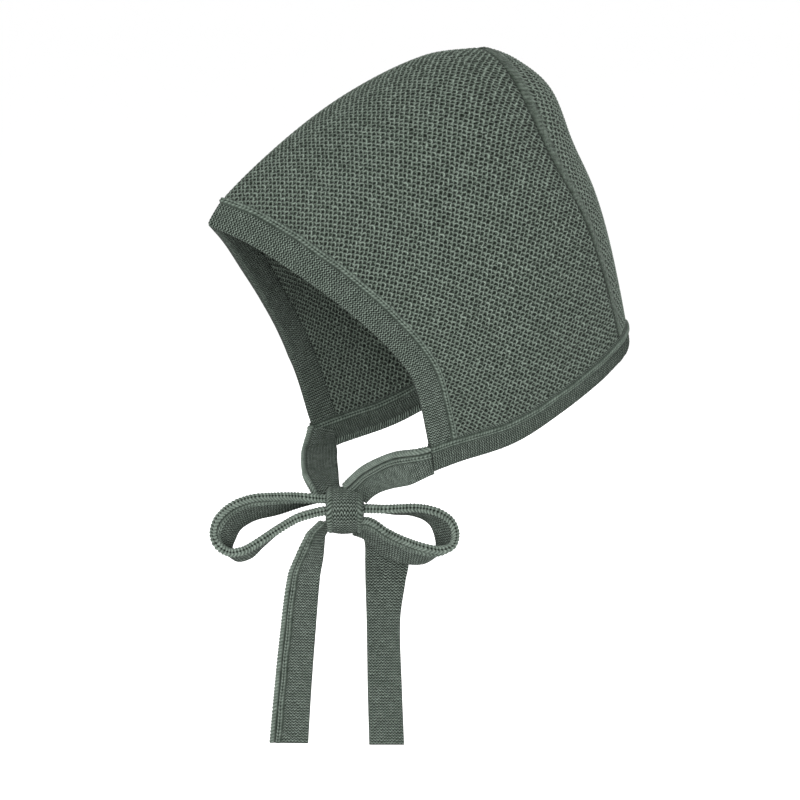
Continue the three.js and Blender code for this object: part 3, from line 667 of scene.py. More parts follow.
def crown_shell(patch, stride, inside):
    pitch = stride / SAMPLES
    sides = np.arange(-WALES_HALF * SAMPLES, WALES_HALF * SAMPLES + 1, stride) / (WALES_HALF * SAMPLES)
    sides[-1] = 1.0
    down = np.abs(sides)
    front = CROWN_DEPTH * read_table(FACE_EDGE, "down", "back", down) + UNDER_BAND * FACE_BAND_WIDTH
    rear = CROWN_DEPTH * read_table(BACK_SEAM, "down", "back", down) - SEAM_GAP
    front_count = np.interp(front, COURSE_BACKS, COURSE_COUNTS) / pitch
    rear_count = np.interp(rear, COURSE_BACKS, COURSE_COUNTS) / pitch
    first = math.floor(front_count.min())
    count = math.ceil(rear_count.max()) - first + 1
    planes = np.interp((first + np.arange(count)) * pitch, COURSE_COUNTS, COURSE_BACKS)
    low = np.clip(np.ceil(front_count - SNAP).astype(int) - first - 1, 0, count - 1)
    high = np.clip(np.floor(rear_count + SNAP).astype(int) - first + 1, 0, count - 1)
    y = np.clip(planes[:, None], front[None, :], rear[None, :])
    y = np.where(np.arange(count)[:, None] <= low, front, y)
    y = np.where(np.arange(count)[:, None] >= high, rear, y)
    edge = CROWN_DEPTH * read_table(FACE_EDGE, "down", "back", down)
    seam = CROWN_DEPTH * read_table(BACK_SEAM, "down", "back", down)
    depth = (y - edge) / (seam - edge)
    side = np.broadcast_to(sides, depth.shape)
    wales = side * WALES_HALF
    cover = ease((rear - y) / STITCHES_FADE)
    courses = np.interp(y, COURSE_BACKS, COURSE_COUNTS)
    bumps = stitch_bumps(courses, wales)
    place = np.stack([courses * MOSS_COURSES, wales * MOSS_WALE], axis=-1)
    if inside:
        points = through(crown_point(depth, side), crown_wall(depth, side),
                         np.full(depth.shape, -KNIT_WALL))
        place = place + INNER_SHIFT
        shade = INNER_SHADE
    else:
        height = MOSS_RELIEF * bumps * cover - SEAM_DIP * (1 - ease((rear - y) / SEAM_DIP_WIDTH))
        points = crown_point(depth, side) + crown_wall(depth, side) * height[..., None]
        shade = SEAM_SHADE * (1 - ease(rear - y))

    def keep(ids):
        rows = np.clip(np.arange(count)[:, None], low[None, :], high[None, :])
        return ids[rows, np.arange(len(sides))[None, :]]

    patch.grid(tipped(points), place, shade, 0.0, flip=inside, keep=keep)


crown = Patch()
crown_shell(crown, 1, False)
crown_shell(crown, 3, True)
crown_panel = crown.object("crown_panel", KNIT_MAIN, bridge=True)


# Back panel: the horseshoe at the back of the head, with a ribbed strip along its seam. It starts a
# little below its top, where the two seams meet.
BACK_START = (1 / 22) ** 1.3
STRIP_HALF = 1.9
STRIP_FADE = 0.8
STRIP_RELIEF = 0.22
STRIP_RIBS = 0.14
# Painted shade beside the strip's crest and in its rib grooves, and how strongly the strip gets the painted
# highlight
STRIP_SHADE = (0.45, 0.35)
STRIP_LIT = 0.5


def back_shell(patch, stride, inside):
    pitch = MOSS_COURSES / SAMPLES * stride
    spots = np.linspace(BACK_START, 1, 400)
    walk = walked(back_point(spots, 0.0))
    rows = math.ceil(walk[-1] * SAMPLES / (MOSS_WALE * stride))
    length = np.linspace(0, walk[-1], rows + 1)
    downs = np.interp(length, walk, spots)
    half = crown_point(np.ones_like(downs), downs)[:, 0]
    widest = math.ceil(half.max() / pitch)
    xs = np.arange(-widest, widest + 1) * pitch
    reach = np.maximum(np.ceil(half / pitch - SNAP).astype(int), 1)
    index = np.arange(-widest, widest + 1)
    x = np.where(index[None, :] >= reach[:, None], half[:, None],
                 np.where(index[None, :] <= -reach[:, None], -half[:, None], xs[None, :]))
    across = x / half[:, None]
    down = np.broadcast_to(downs[:, None], x.shape)
    along = np.broadcast_to(length[:, None], x.shape)
    edge = half[:, None] - np.abs(x)
    strip = 1 - ease((edge - SEAM_STRIP_WIDTH + STRIP_FADE) / STRIP_FADE)
    if inside:
        points = through(back_point(down, across), back_wall(down, across), np.full(x.shape, -KNIT_WALL))
        gap = INNER_SHADE
    else:
        ribs = np.cos(2 * math.pi * ((along + drift(along)) / CHAIN_LINK + 0.3 * edge))
        bumps = MOSS_RELIEF * stitch_bumps(x / MOSS_COURSES, along / MOSS_WALE)
        crest = np.sqrt(np.clip(1 - ((edge - STRIP_HALF) / STRIP_HALF) ** 2, 0, 1))
        ribbed = (STRIP_RELIEF + STRIP_RIBS * ribs) * crest - SEAM_DIP * (1 - crest)
        height = mix(bumps, ribbed, strip)
        points = back_point(down, across) + back_wall(down, across) * height[..., None]
        gap = strip * (STRIP_SHADE[0] * (1 - crest) + STRIP_SHADE[1] * (0.5 - 0.5 * ribs))
    place = np.stack([x, along], axis=-1)

    def keep(ids):
        columns = np.clip(index[None, :], -reach[:, None], reach[:, None]) + widest
        return ids[np.arange(rows + 1)[:, None], columns]

    lit = 0.0 if inside else STRIP_LIT * strip
    patch.grid(tipped(points), place, gap, lit, flip=not inside, keep=keep)


back = Patch()
back_shell(back, 1, False)
back_shell(back, 2, True)
back_panel = back.object("back_panel", KNIT_MAIN, bridge=True)


# One side of the face band's section: places across it and the heights in the named column
def section_line(rows, column, step):
    count = max(int(round(FACE_BAND_WIDTH / step)), 8)
    at = np.linspace(rows["across"][0], rows["across"][-1], count + 1)
    return at, read_table(rows, "across", column, at)


FACE_SECTION = table(
    "across out inn",
    (0.02, -0.22, -0.62), (0.09, 0.02, -0.84), (0.28, 0.11, -0.89), (0.70, 0.11, -0.89),
    (0.85, 0.11, -0.82), (0.94, 0.11, -0.75), (1.00, 0.04, -0.68),
)
FACE_CHAIN = 0.90
FACE_RELIEF = 0.14
FACE_INNER_RELIEF = 0.10
# Painted shade over the band's inner face
FACE_INNER_SHADE = 0.15


def face_band():
    sides = np.linspace(-1, 1, int(2 * ARCH_LENGTH[0] / FINE_STEP) + 1)
    over, out = section_line(FACE_SECTION, "out", FINE_STEP)
    under, inn = section_line(FACE_SECTION, "inn", 2 * FINE_STEP)
    along = sides[:, None] * ARCH_LENGTH[0]

    def lift(at, height):
        side = np.broadcast_to(sides[:, None], height.shape)
        depth = depth_share(FACE_BAND_WIDTH * np.broadcast_to(at, height.shape), np.abs(side))
        return through(crown_point(depth, side), crown_normal(depth, side), height)

    def bumps(across):
        return stitch_bumps(2 * along / BAND_ROWS, across * FACE_BAND_WIDTH / BAND_WALE)

    over, under = over[None, :], under[None, ::-1]
    high, dark, on = chain((over - FACE_CHAIN) * FACE_BAND_WIDTH, along)
    top = out[None, :] * FACE_BAND_THICK + high + (1 - on) * FACE_RELIEF * bumps(over)
    low = inn[None, ::-1] * FACE_BAND_THICK + FACE_INNER_RELIEF * bumps(under)
    points = np.concatenate([lift(over, top), lift(under, low)], axis=1)
    lay = np.concatenate([over, 2 - under], axis=1) * FACE_BAND_WIDTH
    place = np.stack(np.broadcast_arrays(along, lay), axis=-1)
    gap = np.concatenate([dark, np.full(low.shape, FACE_INNER_SHADE)], axis=1)
    linked = np.concatenate([np.broadcast_to(on, dark.shape), np.zeros(low.shape)], axis=1)
    patch = Patch()
    patch.tube(tipped(points), place, gap, linked)
    return patch.object("face_band", KNIT_BAND)


face_band_piece = face_band()

# The neck edge, from the right face corner (-1) round the back (0) to the left one (1)
NECK_BACK_SHARE = 0.27
NECK_SMOOTH = 0.05


def neck_point(at):
    at = np.asarray(at, float)
    far = np.abs(at)
    edge = sign(at)
    rear = back_point(np.ones_like(at), np.clip(at / NECK_BACK_SHARE, -1, 1))
    depth = np.clip(1 - (far - NECK_BACK_SHARE) / (1 - NECK_BACK_SHARE), 0, 1)
    ahead = crown_point(depth, edge)
    return np.where((far <= NECK_BACK_SHARE)[..., None], rear, ahead)


def neck_normal(at):
    total = 0
    for shift in (-NECK_SMOOTH, 0, NECK_SMOOTH):
        near = np.clip(at + shift, -1, 1)
        far = np.abs(near)
        depth = np.clip(1 - (far - NECK_BACK_SHARE) / (1 - NECK_BACK_SHARE), 0, 1)
        rear = back_normal(np.ones_like(near), np.clip(near / NECK_BACK_SHARE, -1, 1))
        ahead = crown_normal(depth, sign(near))
        total = total + np.where((far <= NECK_BACK_SHARE)[..., None], rear, ahead)
    return unit(total)


def neck_frame(at):
    along = unit(neck_point(np.minimum(at + NECK_SMOOTH, 1)) - neck_point(np.maximum(at - NECK_SMOOTH, -1)))
    out = neck_normal(at)
    down = unit(np.cross(along, out))
    down = np.where(down[..., 2:3] > 0, -down, down)
    return neck_point(at), along, out, down


NECK_SECTION = table(
    "order down out inner_down inner_out",
    (0.00, -0.07, 0.05, -0.07, -0.64), (0.07, 0.02, 0.12, 0.02, -0.74),
    (0.18, 0.18, 0.12, 0.18, -0.80), (0.29, 0.29, 0.12, 0.29, -0.86),
    (0.38, 0.35, 0.12, 0.38, -0.90), (0.66, 0.66, 0.05, 0.56, -0.98),
    (0.86, 0.86, -0.28, 0.66, -1.18), (1.00, 0.93, -0.85, 0.70, -1.30),
)
NECK_CHAIN = 0.115
NECK_RIB = 1.7
NECK_RIB_RELIEF = 0.06
NECK_INNER_RIB_RELIEF = 0.05
NECK_RELIEF = 0.10
# Painted shade in the rib grooves; the inner face always gets some painted shade
NECK_RIB_SHADE = 3.6


def neck_band():
    spots = np.linspace(-1, 1, 1500)
    walk = walked(neck_point(spots))
    rings = int(walk[-1] / FINE_STEP)
    length = np.linspace(0, walk[-1], rings + 1)
    at = np.interp(length, walk, spots)
    origin, _, out, down = neck_frame(at)
    count = int(1.25 * NECK_BAND_WIDTH / FINE_STEP)
    order = np.linspace(0, 1, count + 1)
    below = read_table(NECK_SECTION, "order", "down", order) * NECK_BAND_WIDTH
    beyond = read_table(NECK_SECTION, "order", "out", order) * NECK_BAND_THICK
    back_order = order[::-1]
    inner_below = read_table(NECK_SECTION, "order", "inner_down", back_order) * NECK_BAND_WIDTH
    inner_beyond = read_table(NECK_SECTION, "order", "inner_out", back_order) * NECK_BAND_THICK
    line = np.concatenate([[0], np.cumsum(np.hypot(np.diff(below), np.diff(beyond)))])
    slope = np.gradient(beyond, below + 1e-6 * np.arange(len(below)))
    tilt = np.arctan(-slope)
    along = length[:, None]
    high, dark, on = chain(below[None, :] - NECK_CHAIN * NECK_BAND_WIDTH, along)
    bumps = NECK_RELIEF * stitch_bumps(2 * along / BAND_ROWS, line[None, :] / BAND_WALE)
    wave = np.cos(2 * math.pi * (along + drift(along)) / NECK_RIB)
    ribs = NECK_RIB_RELIEF * wave * ease((line[None, :] - 3) / 3)
    ribs = ribs * (1 - 0.7 * ease((line[None, :] - 0.72 * line[-1]) / (0.2 * line[-1])))
    relief = high + (1 - on) * (bumps + ribs)
    dout = np.cos(tilt)[None, :] * relief
    ddown = np.sin(tilt)[None, :] * relief

    def put(lower, outer):
        return (origin[:, None, :] + down[:, None, :] * (SEAM_GAP + lower)[..., None]
                + out[:, None, :] * outer[..., None])

    outer = put(below[None, :] + ddown, beyond[None, :] + dout)
    shape = (len(at), len(back_order))
    inner_high, inner_dark, inner_on = chain(inner_below[None, :] - NECK_CHAIN * NECK_BAND_WIDTH, along)
    inner_ribs = NECK_INNER_RIB_RELIEF * wave * (1 - inner_on)
    inner_ribs = inner_ribs * ease((0.62 * NECK_BAND_WIDTH - inner_below[None, :]) / 2)
    inner = put(np.broadcast_to(inner_below, shape), inner_beyond[None, :] - 0.8 * inner_high - inner_ribs)
    points = np.concatenate([outer, inner], axis=1)
    sheet_u = np.concatenate([line, line[-1] + np.linspace(0.5, line[-1], len(back_order))])
    place = np.stack(np.broadcast_arrays(along, sheet_u[None, :]), axis=-1)
    gap = np.maximum(dark, np.clip(-ribs * NECK_RIB_SHADE, 0, 0.5))
    inner_painted_shade = np.maximum(inner_dark, np.clip(-inner_ribs * NECK_RIB_SHADE, 0.1, 0.5))
    gap = np.concatenate([gap, inner_painted_shade], axis=1)
    linked = np.concatenate([np.broadcast_to(on, ribs.shape), np.broadcast_to(inner_on, shape)], axis=1)
    patch = Patch()
    patch.tube(tipped(points), place, gap, linked)
    return patch.object("neck_band", KNIT_BAND)


neck_band_piece = neck_band()

# Ties: a flat knitted strip. Its first edge is a thick double rib, one round lobe on each face with
# a groove between them at the rim. Past a channel, a linked chain stands on the over face. A tie that
# isn't edged has two plain edges.
LOBE_ROUND = 0.95
LOBE_RISE = 0.80
TIE_FLAT = 1.15
TIE_CHANNEL = 2.25
TIE_CHAIN_PLACE = 3.5
EDGE_ZONE = 5.2
SELVEDGE = 0.9
TIE_STEP = 0.3
TIE_RELIEF = 0.10
LOBE_END = 2.0
LOBE_RELIEF = 0.24
# Painted shade between the rim lobe's links, in the groove at the rim and in the channel
LOBE_SHADE = 0.28
LOBE_SLANT = 0.42
RIM_SHADE = 0.60
CHANNEL_HALF = 0.42
CHANNEL_SHADE = {True: 0.65, False: 0.25}
CHANNEL_DEPTH = {True: 0.45, False: 0.15}


# Half of the strip's outline from the rim's groove to the far edge: place across, height from the
# middle, and the way a bump grows there
def tie_profile(chained, edged):
    if not edged:
        at = np.arange(0.1, TIE_WIDTH, TIE_STEP)
        inset = np.clip(np.minimum(at, TIE_WIDTH - at) / SELVEDGE, 0, 1)
        return at, TIE_FLAT * np.sqrt(1 - (1 - inset) ** 2), np.zeros_like(at), np.ones_like(at)
    turn = np.radians(np.linspace(-58, 90, 12))
    round_at, round_high = LOBE_ROUND * (1 - np.cos(turn)), LOBE_RISE + LOBE_ROUND * np.sin(turn)
    flat_at = np.arange(LOBE_ROUND + 0.25, TIE_WIDTH, TIE_STEP)
    lobe = LOBE_RISE + LOBE_ROUND * np.sqrt(np.clip(1 - ((flat_at - LOBE_ROUND) / LOBE_ROUND) ** 2, 0, 1))
    far = np.minimum((TIE_WIDTH - flat_at) / SELVEDGE, 1)
    base = TIE_FLAT * np.sqrt(np.clip(1 - (1 - far) ** 2, 0.02, 1))
    base = base - CHANNEL_DEPTH[chained] * np.exp(-((flat_at - TIE_CHANNEL) / 0.45) ** 2)
    at = np.concatenate([round_at, flat_at])
    high = np.concatenate([round_high, np.maximum(base, np.where(flat_at < 2 * LOBE_ROUND, lobe, 0))])
    grow_at = np.concatenate([-np.cos(turn), np.zeros_like(flat_at)])
    grow_high = np.concatenate([np.sin(turn), np.ones_like(flat_at)])
    return at, high, grow_at, grow_high


# A strip between two edge lines, one point of each per ring. over says which face has the chain.
def tie_strip(name, first_edge, second_edge, chained=True, over=1, edged=True):
    centre = (first_edge + second_edge) / 2
    span = second_edge - first_edge
    wide = np.linalg.norm(span, axis=-1)[:, None]
    side = unit(span)
    face = unit(np.cross(tangents(centre), side)) * over
    run = ((walked(first_edge) + walked(centre)) / 2)[:, None]

    def surface(chained, turn):
        at, high, grow_at, grow_high = tie_profile(chained, edged)
        lobed = ease((LOBE_END - at) / 0.3) * edged
        slant = LOBE_SLANT * np.abs(high - LOBE_RISE + at)[None, :]
        links = np.cos(2 * math.pi * ((run + drift(run)) / CHAIN_LINK + slant))
        bumps = TIE_RELIEF * stitch_bumps(2 * run / TIE_ROWS, at[None, :] / TIE_WALE)
        chain_high, dark, on = chain(at[None, :] - TIE_CHAIN_PLACE, run) if chained else np.zeros((3, 1, 1))
        grow = lobed * LOBE_RELIEF * links + (1 - lobed) * (chain_high + (1 - on) * bumps)
        rim = np.exp(-((high + 0.02) / 0.24) ** 2) * (at < 1)
        channel = np.exp(-((at - TIE_CHANNEL) / CHANNEL_HALF) ** 2) * CHANNEL_SHADE[chained] * edged
        gap = np.maximum(dark, lobed * (LOBE_SHADE * (0.8 - links) + RIM_SHADE * rim))
        gap = np.clip(np.maximum(gap, channel), 0, 0.95)
        past_edge = np.maximum(at[None, :] - EDGE_ZONE, 0)
        stretch = (wide - EDGE_ZONE) / (TIE_WIDTH - EDGE_ZONE)
        where = np.minimum(at[None, :], EDGE_ZONE) + past_edge * stretch + grow_at[None, :] * grow
        points = (first_edge[:, None, :] + side[:, None, :] * where[..., None]
                  + face[:, None, :] * (turn * (high[None, :] + grow_high[None, :] * grow))[..., None])
        lay = np.broadcast_to(at[None, :] if turn > 0 else 2.2 * TIE_WIDTH - at[None, :], where.shape)
        place = np.stack(np.broadcast_arrays(run, lay), axis=-1)
        linked = np.clip(lobed[None, :] + on, 0, 1)
        return points, place, np.broadcast_to(gap, where.shape), np.broadcast_to(linked, where.shape)

    upper, lower = surface(chained, 1), surface(False, -1)
    points, place, gap, linked = (np.concatenate([u, d[:, ::-1]], axis=1) for u, d in zip(upper, lower))
    patch = Patch()
    patch.tube(points, place, gap, linked)
    return patch.object(name, KNIT_TIE), float(run[-1, 0])


BOW = math.radians(BOW_TURN)
BOW_RIGHT = np.array([math.cos(BOW), math.sin(BOW), 0.0])
BOW_FRONT = np.array([math.sin(BOW), -math.cos(BOW), 0.0])
BOW_UP = np.array([0.0, 0.0, 1.0])
KNOT_CENTRE = np.array([0.0, -CHIN_SETBACK, -CHIN_DROP + KNIT_WALL])


def bow_direction(right, front, up):
    right, front, up = (np.asarray(v, float)[..., None] for v in np.broadcast_arrays(right, front, up))
    return BOW_RIGHT * right + BOW_FRONT * front + BOW_UP * up


def bow_place(right, front, up):
    return bow_direction(right, front, up) + KNOT_CENTRE


# Smooth curve through points, walked evenly
def curve_through(points, count):
    ends = [2 * points[0] - points[1]], [2 * points[-1] - points[-2]]
    knots = np.concatenate([ends[0], points, ends[1]])
    spots = np.linspace(0, len(points) - 1, 2400)
    i = np.minimum(spots.astype(int), len(points) - 2)
    s = (spots - i)[:, None]
    p0, p1, p2, p3 = (knots[i + k] for k in range(4))
    d1 = np.maximum(np.linalg.norm(p1 - p0, axis=1), 1e-6)[:, None] ** 0.5
    d2 = np.maximum(np.linalg.norm(p2 - p1, axis=1), 1e-6)[:, None] ** 0.5
    d3 = np.maximum(np.linalg.norm(p3 - p2, axis=1), 1e-6)[:, None] ** 0.5
    t1 = ((p1 - p0) / d1 - (p2 - p0) / (d1 + d2) + (p2 - p1) / d2) * d2
    t2 = ((p2 - p1) / d2 - (p3 - p1) / (d2 + d3) + (p3 - p2) / d3) * d2
    line = (p1 + t1 * s + (3 * (p2 - p1) - 2 * t1 - t2) * s ** 2
            + (t1 + t2 - 2 * (p2 - p1)) * s ** 3)
    walk = walked(line)
    if count is None:
        count = int(walk[-1] / FINE_STEP)
    even = np.linspace(0, walk[-1], count + 1)
    made = np.stack([np.interp(even, walk, line[:, k]) for k in range(3)], axis=1)
    return made, np.interp(even, walk, spots) / (len(points) - 1)


# The same curve as curve_through, at given shares of its points
def curve_at(points, share):
    line, own = curve_through(points, 2400)
    return np.stack([np.interp(share, own, line[:, k]) for k in range(3)], axis=1)


def tangents(line):
    return unit(np.gradient(line, axis=0))


# Loops: the strip's chain edge leaves the knot, goes round and comes back. reach is a share of the
# loop's reach and up of its height. inward and rear_down say how far the other edge lies toward the
# knot and below the chain edge, and wide how wide the strip is spread, as shares of TIE_WIDTH.
LEFT_LOOP = table(
    "reach up inward rear_down wide",
    (0.00, 0.22, 0.00, 0.10, 0.74), (0.10, 0.24, 0.00, 0.22, 0.84), (0.23, 0.27, 0.00, 0.40, 0.96),
    (0.40, 0.28, 0.01, 0.59, 1.00), (0.64, 0.25, 0.08, 0.71, 1.00), (0.82, 0.11, 0.27, 0.73, 1.00),
    (0.94, -0.12, 0.51, 0.63, 1.00), (0.97, -0.37, 0.51, 0.47, 1.00), (0.92, -0.57, 0.37, 0.36, 1.00),
    (0.82, -0.68, 0.23, 0.33, 1.00), (0.70, -0.65, 0.19, 0.29, 1.00), (0.58, -0.53, 0.12, 0.19, 1.00),
    (0.40, -0.31, 0.05, 0.11, 1.00), (0.23, -0.12, 0.01, 0.08, 0.96), (0.10, -0.04, 0.00, 0.07, 0.84),
    (0.00, 0.00, 0.00, 0.05, 0.74),
)
RIGHT_LOOP = table(
    "reach up inward rear_down wide",
    (0.00, -0.14, 0.05, 0.60, 0.74), (0.09, -0.20, 0.08, 0.70, 0.84), (0.21, -0.36, 0.07, 0.76, 0.98),
    (0.42, -0.55, 0.07, 0.71, 1.00), (0.66, -0.70, 0.17, 0.51, 1.00), (0.80, -0.73, 0.31, 0.32, 1.00),
    (0.91, -0.64, 0.45, 0.18, 1.00), (0.945, -0.41, 0.57, 0.20, 1.00), (0.89, -0.16, 0.55, 0.23, 1.00),
    (0.76, 0.00, 0.44, 0.26, 1.00), (0.56, 0.08, 0.29, 0.26, 1.00), (0.35, 0.07, 0.17, 0.23, 1.00),
    (0.21, 0.05, 0.09, 0.16, 0.98), (0.09, 0.05, 0.04, 0.09, 0.84), (0.00, 0.05, 0.00, 0.05, 0.74),
)
LOOP_CLEARANCE = 1
LOOP_FRONT = 4.6
LOOP_SPREAD = 2.4
INTO_KNOT = 5.0


# One more point at each end of a loop's edge, inside the knot
def ended_in_knot(line, hand, toward):
    inward = bow_direction(-hand * INTO_KNOT, -1.0, 0.0)
    first = mix(line[:1], toward[:1], 0.25) + inward
    last = mix(line[-1:], toward[-1:], 0.25) + inward
    return np.concatenate([first, line, last])


def bow_loop(name, rows, hand, reach, height, over):
    start = KNOT_WIDTH / 2 + LOOP_CLEARANCE
    chain_edge = bow_place(hand * (start + rows["reach"] * reach),
                           LOOP_FRONT + LOOP_SPREAD * rows["reach"], rows["up"] * height)
    back = np.sqrt(rows["wide"] ** 2 - rows["inward"] ** 2 - rows["rear_down"] ** 2)
    rear_edge = chain_edge + bow_direction(-hand * rows["inward"], -back, -rows["rear_down"]) * TIE_WIDTH
    first, share = curve_through(ended_in_knot(chain_edge, hand, rear_edge), None)
    second = curve_at(ended_in_knot(rear_edge, hand, chain_edge), share)
    return tie_strip(name, first, second, over=over)


loop_left, loop_left_run = bow_loop(
    "bow_loop_left", LEFT_LOOP, -1, LEFT_LOOP_REACH, LEFT_LOOP_HEIGHT, 1)
loop_right, loop_right_run = bow_loop(
    "bow_loop_right", RIGHT_LOOP, 1, RIGHT_LOOP_REACH, RIGHT_LOOP_HEIGHT, -1)

# Tails, in shares of TIE_WIDTH from the knot's middle; fall is a share of the tail's length
LEFT_TAIL = table(
    "fall right front wide yaw",
    (0.00, -0.78, 0.12, 0.56, 34), (0.10, -0.94, 0.18, 0.82, 30), (0.20, -1.10, 0.16, 0.94, 24),
    (0.50, -1.29, 0.10, 0.99, 14), (0.75, -1.42, 0.04, 1.02, 8), (1.00, -1.53, 0.00, 1.06, 5),
)
RIGHT_TAIL = table(
    "fall right front wide yaw",
    (0.00, 0.86, -0.40, 0.80, 0), (0.06, 1.06, -0.72, 1.06, 0), (0.15, 1.147, -0.76, 1.22, -2),
    (0.24, 1.107, -0.62, 1.12, -3), (0.42, 1.05, -0.50, 0.94, -4), (0.75, 1.09, -0.36, 0.96, -2),
    (1.00, 1.14, -0.28, 0.98, 0),
)
TAIL_HIDDEN = 0.06


def bow_tail(name, rows, length, chained):
    top = -KNOT_HEIGHT / 2 - SEAM_GAP
    falls = np.linspace(-TAIL_HIDDEN, 1, int((1 + TAIL_HIDDEN) * length / FINE_STEP))
    read = {c: read_table(rows, "fall", c, falls) for c in ("right", "front", "wide", "yaw")}
    draw_in = np.clip(-falls / TAIL_HIDDEN, 0, 1)
    centre = bow_place(TIE_WIDTH * read["right"] * (1 - 0.35 * draw_in), TIE_WIDTH * read["front"],
                       top - length * falls)
    yaw = np.radians(read["yaw"])
    wide = TIE_WIDTH * read["wide"] * (1 - 0.35 * draw_in)
    half = bow_direction(np.cos(yaw), np.sin(yaw), np.zeros_like(yaw)) * (wide / 2)[:, None]
    return tie_strip(name, centre - half, centre + half, chained=chained, edged=chained)


tail_left, tail_left_run = bow_tail("tail_left", LEFT_TAIL, LEFT_TAIL_LENGTH, True)
tail_right, tail_right_run = bow_tail("tail_right", RIGHT_TAIL, RIGHT_TAIL_LENGTH, False)

# Knot: one tie wrapped round the other
KNOT_SECTIONS = table(
    "at tall deep",
    (-0.50, 0.70, 0.66), (-0.43, 0.88, 0.86), (-0.20, 1.00, 1.00),
    (0.15, 1.00, 1.00), (0.40, 0.90, 0.88), (0.50, 0.72, 0.68),
)
KNOT_ROUND = 0.82
KNOT_WRAP = 52
KNOT_STEPS = 144


def bow_knot():
    at = np.linspace(-0.5, 0.5, int(KNOT_WIDTH / FINE_STEP) + 1)[:, None]
    turn = (np.arange(KNOT_STEPS) + 0.5) / KNOT_STEPS * 2 * math.pi + math.pi
    squared = (lambda v: np.sign(v) * np.abs(v) ** KNOT_ROUND)
    tall = read_table(KNOT_SECTIONS, "at", "tall", at) * KNOT_HEIGHT / 2
    deep = read_table(KNOT_SECTIONS, "at", "deep", at) * KNOT_DEPTH / 2
    run = (turn[None, :] / (2 * math.pi) - 0.5) * KNOT_WRAP * np.ones_like(at)
    lay = at * KNOT_WIDTH * np.ones_like(run)
    rim = KNOT_WIDTH / 2 - 1.5
    swell = np.clip(1 - (np.abs(lay) - rim) ** 2, 0, 1) ** 0.5
    links = np.cos(2 * math.pi * (run / CHAIN_LINK + 0.45 * np.abs(lay)))
    grow = mix(0.12 * stitch_bumps(2 * run / TIE_ROWS, lay / TIE_WALE), 0.45 + 0.22 * links, swell)
    # Painted shade between the links on the knot's rims, which get the chains' painted highlight
    gap = np.clip(0.42 * (1 - links) * (swell > 0.05), 0, 1)
    points = bow_place(lay, squared(np.cos(turn))[None, :] * (deep + grow),
                       squared(np.sin(turn))[None, :] * (tall + grow))
    patch = Patch()
    patch.tube(points, np.stack([run, lay], axis=-1), gap, (swell > 0.05).astype(float))
    return patch.object("bow_knot", KNIT_TIE)


knot = bow_knot()

# Straps: the left one runs on from the neck band, the right one folds down at its corner
STRAP_START_WIDTH = 0.8
STRAP_END_WIDTH = 0.85
STRAP_PULL = 0.25
FOLD_SETBACK = 0.62
FOLD_START = 2.6
FOLD_LEAN = 0.45
LEFT_STRAP_END = dict(place=(0.26, 0.10, 0.36), across=(0.92, -0.10, -0.36), arrive=(-0.60, -0.20, -0.72))
RIGHT_STRAP_END = dict(place=(-0.46, -0.10, 0.34), across=(0.80, -0.52, 0.22), arrive=(0.34, 0.40, -0.84))


def chin_strap(name, hand, folded, end):
    origin, along, out, down = (v[0] for v in neck_frame(np.array([float(hand)])))
    forward = along * hand
    half = TIE_WIDTH * STRAP_START_WIDTH / 2
    first = origin - out * NECK_BAND_THICK / 3
    if folded:
        first = first - out * NECK_BAND_THICK * 0.30 + down * FOLD_START
        first = first - forward * half * FOLD_SETBACK
    else:
        first = first + down * (SEAM_GAP + half) + forward * SEAM_GAP
    first = tipped(first)
    right, front, up = end["place"]
    last = bow_place(KNOT_WIDTH * right, KNOT_DEPTH * front, KNOT_HEIGHT * up)
    leave = turned(unit(down + FOLD_LEAN * forward) if folded else forward)
    across_start = turned(-forward if folded else down)
    arrive = unit(bow_direction(*end["arrive"]))
    pull = STRAP_PULL * np.linalg.norm(last - first)
    corners = [first, first + leave * pull, last - arrive * pull, last]
    t = np.linspace(0, 1, 600)[:, None]
    line = ((1 - t) ** 3 * corners[0] + 3 * (1 - t) ** 2 * t * corners[1]
            + 3 * (1 - t) * t ** 2 * corners[2] + t ** 3 * corners[3])
    walk = walked(line)
    count = int(walk[-1] / FINE_STEP)
    u = np.linspace(0, 1, count + 1)
    centre = np.stack([np.interp(u * walk[-1], walk, line[:, k]) for k in range(3)], axis=1)
    run = tangents(centre)
    across_end = unit(bow_direction(*end["across"]))
    across = unit(mix(across_start, across_end, ease(u)[:, None]))
    width = TIE_WIDTH * (1 - (1 - STRAP_START_WIDTH) * (1 - ease(3 * u))
                         - (1 - STRAP_END_WIDTH) * ease(3 * u - 2))
    side = unit(across - run * np.sum(across * run, axis=-1, keepdims=True))
    half = side * (width / 2)[:, None]
    return tie_strip(name, centre - half, centre + half, over=hand)


strap_left, strap_left_run = chin_strap("strap_left", 1, False, LEFT_STRAP_END)
strap_right, strap_right_run = chin_strap("strap_right", -1, True, RIGHT_STRAP_END)

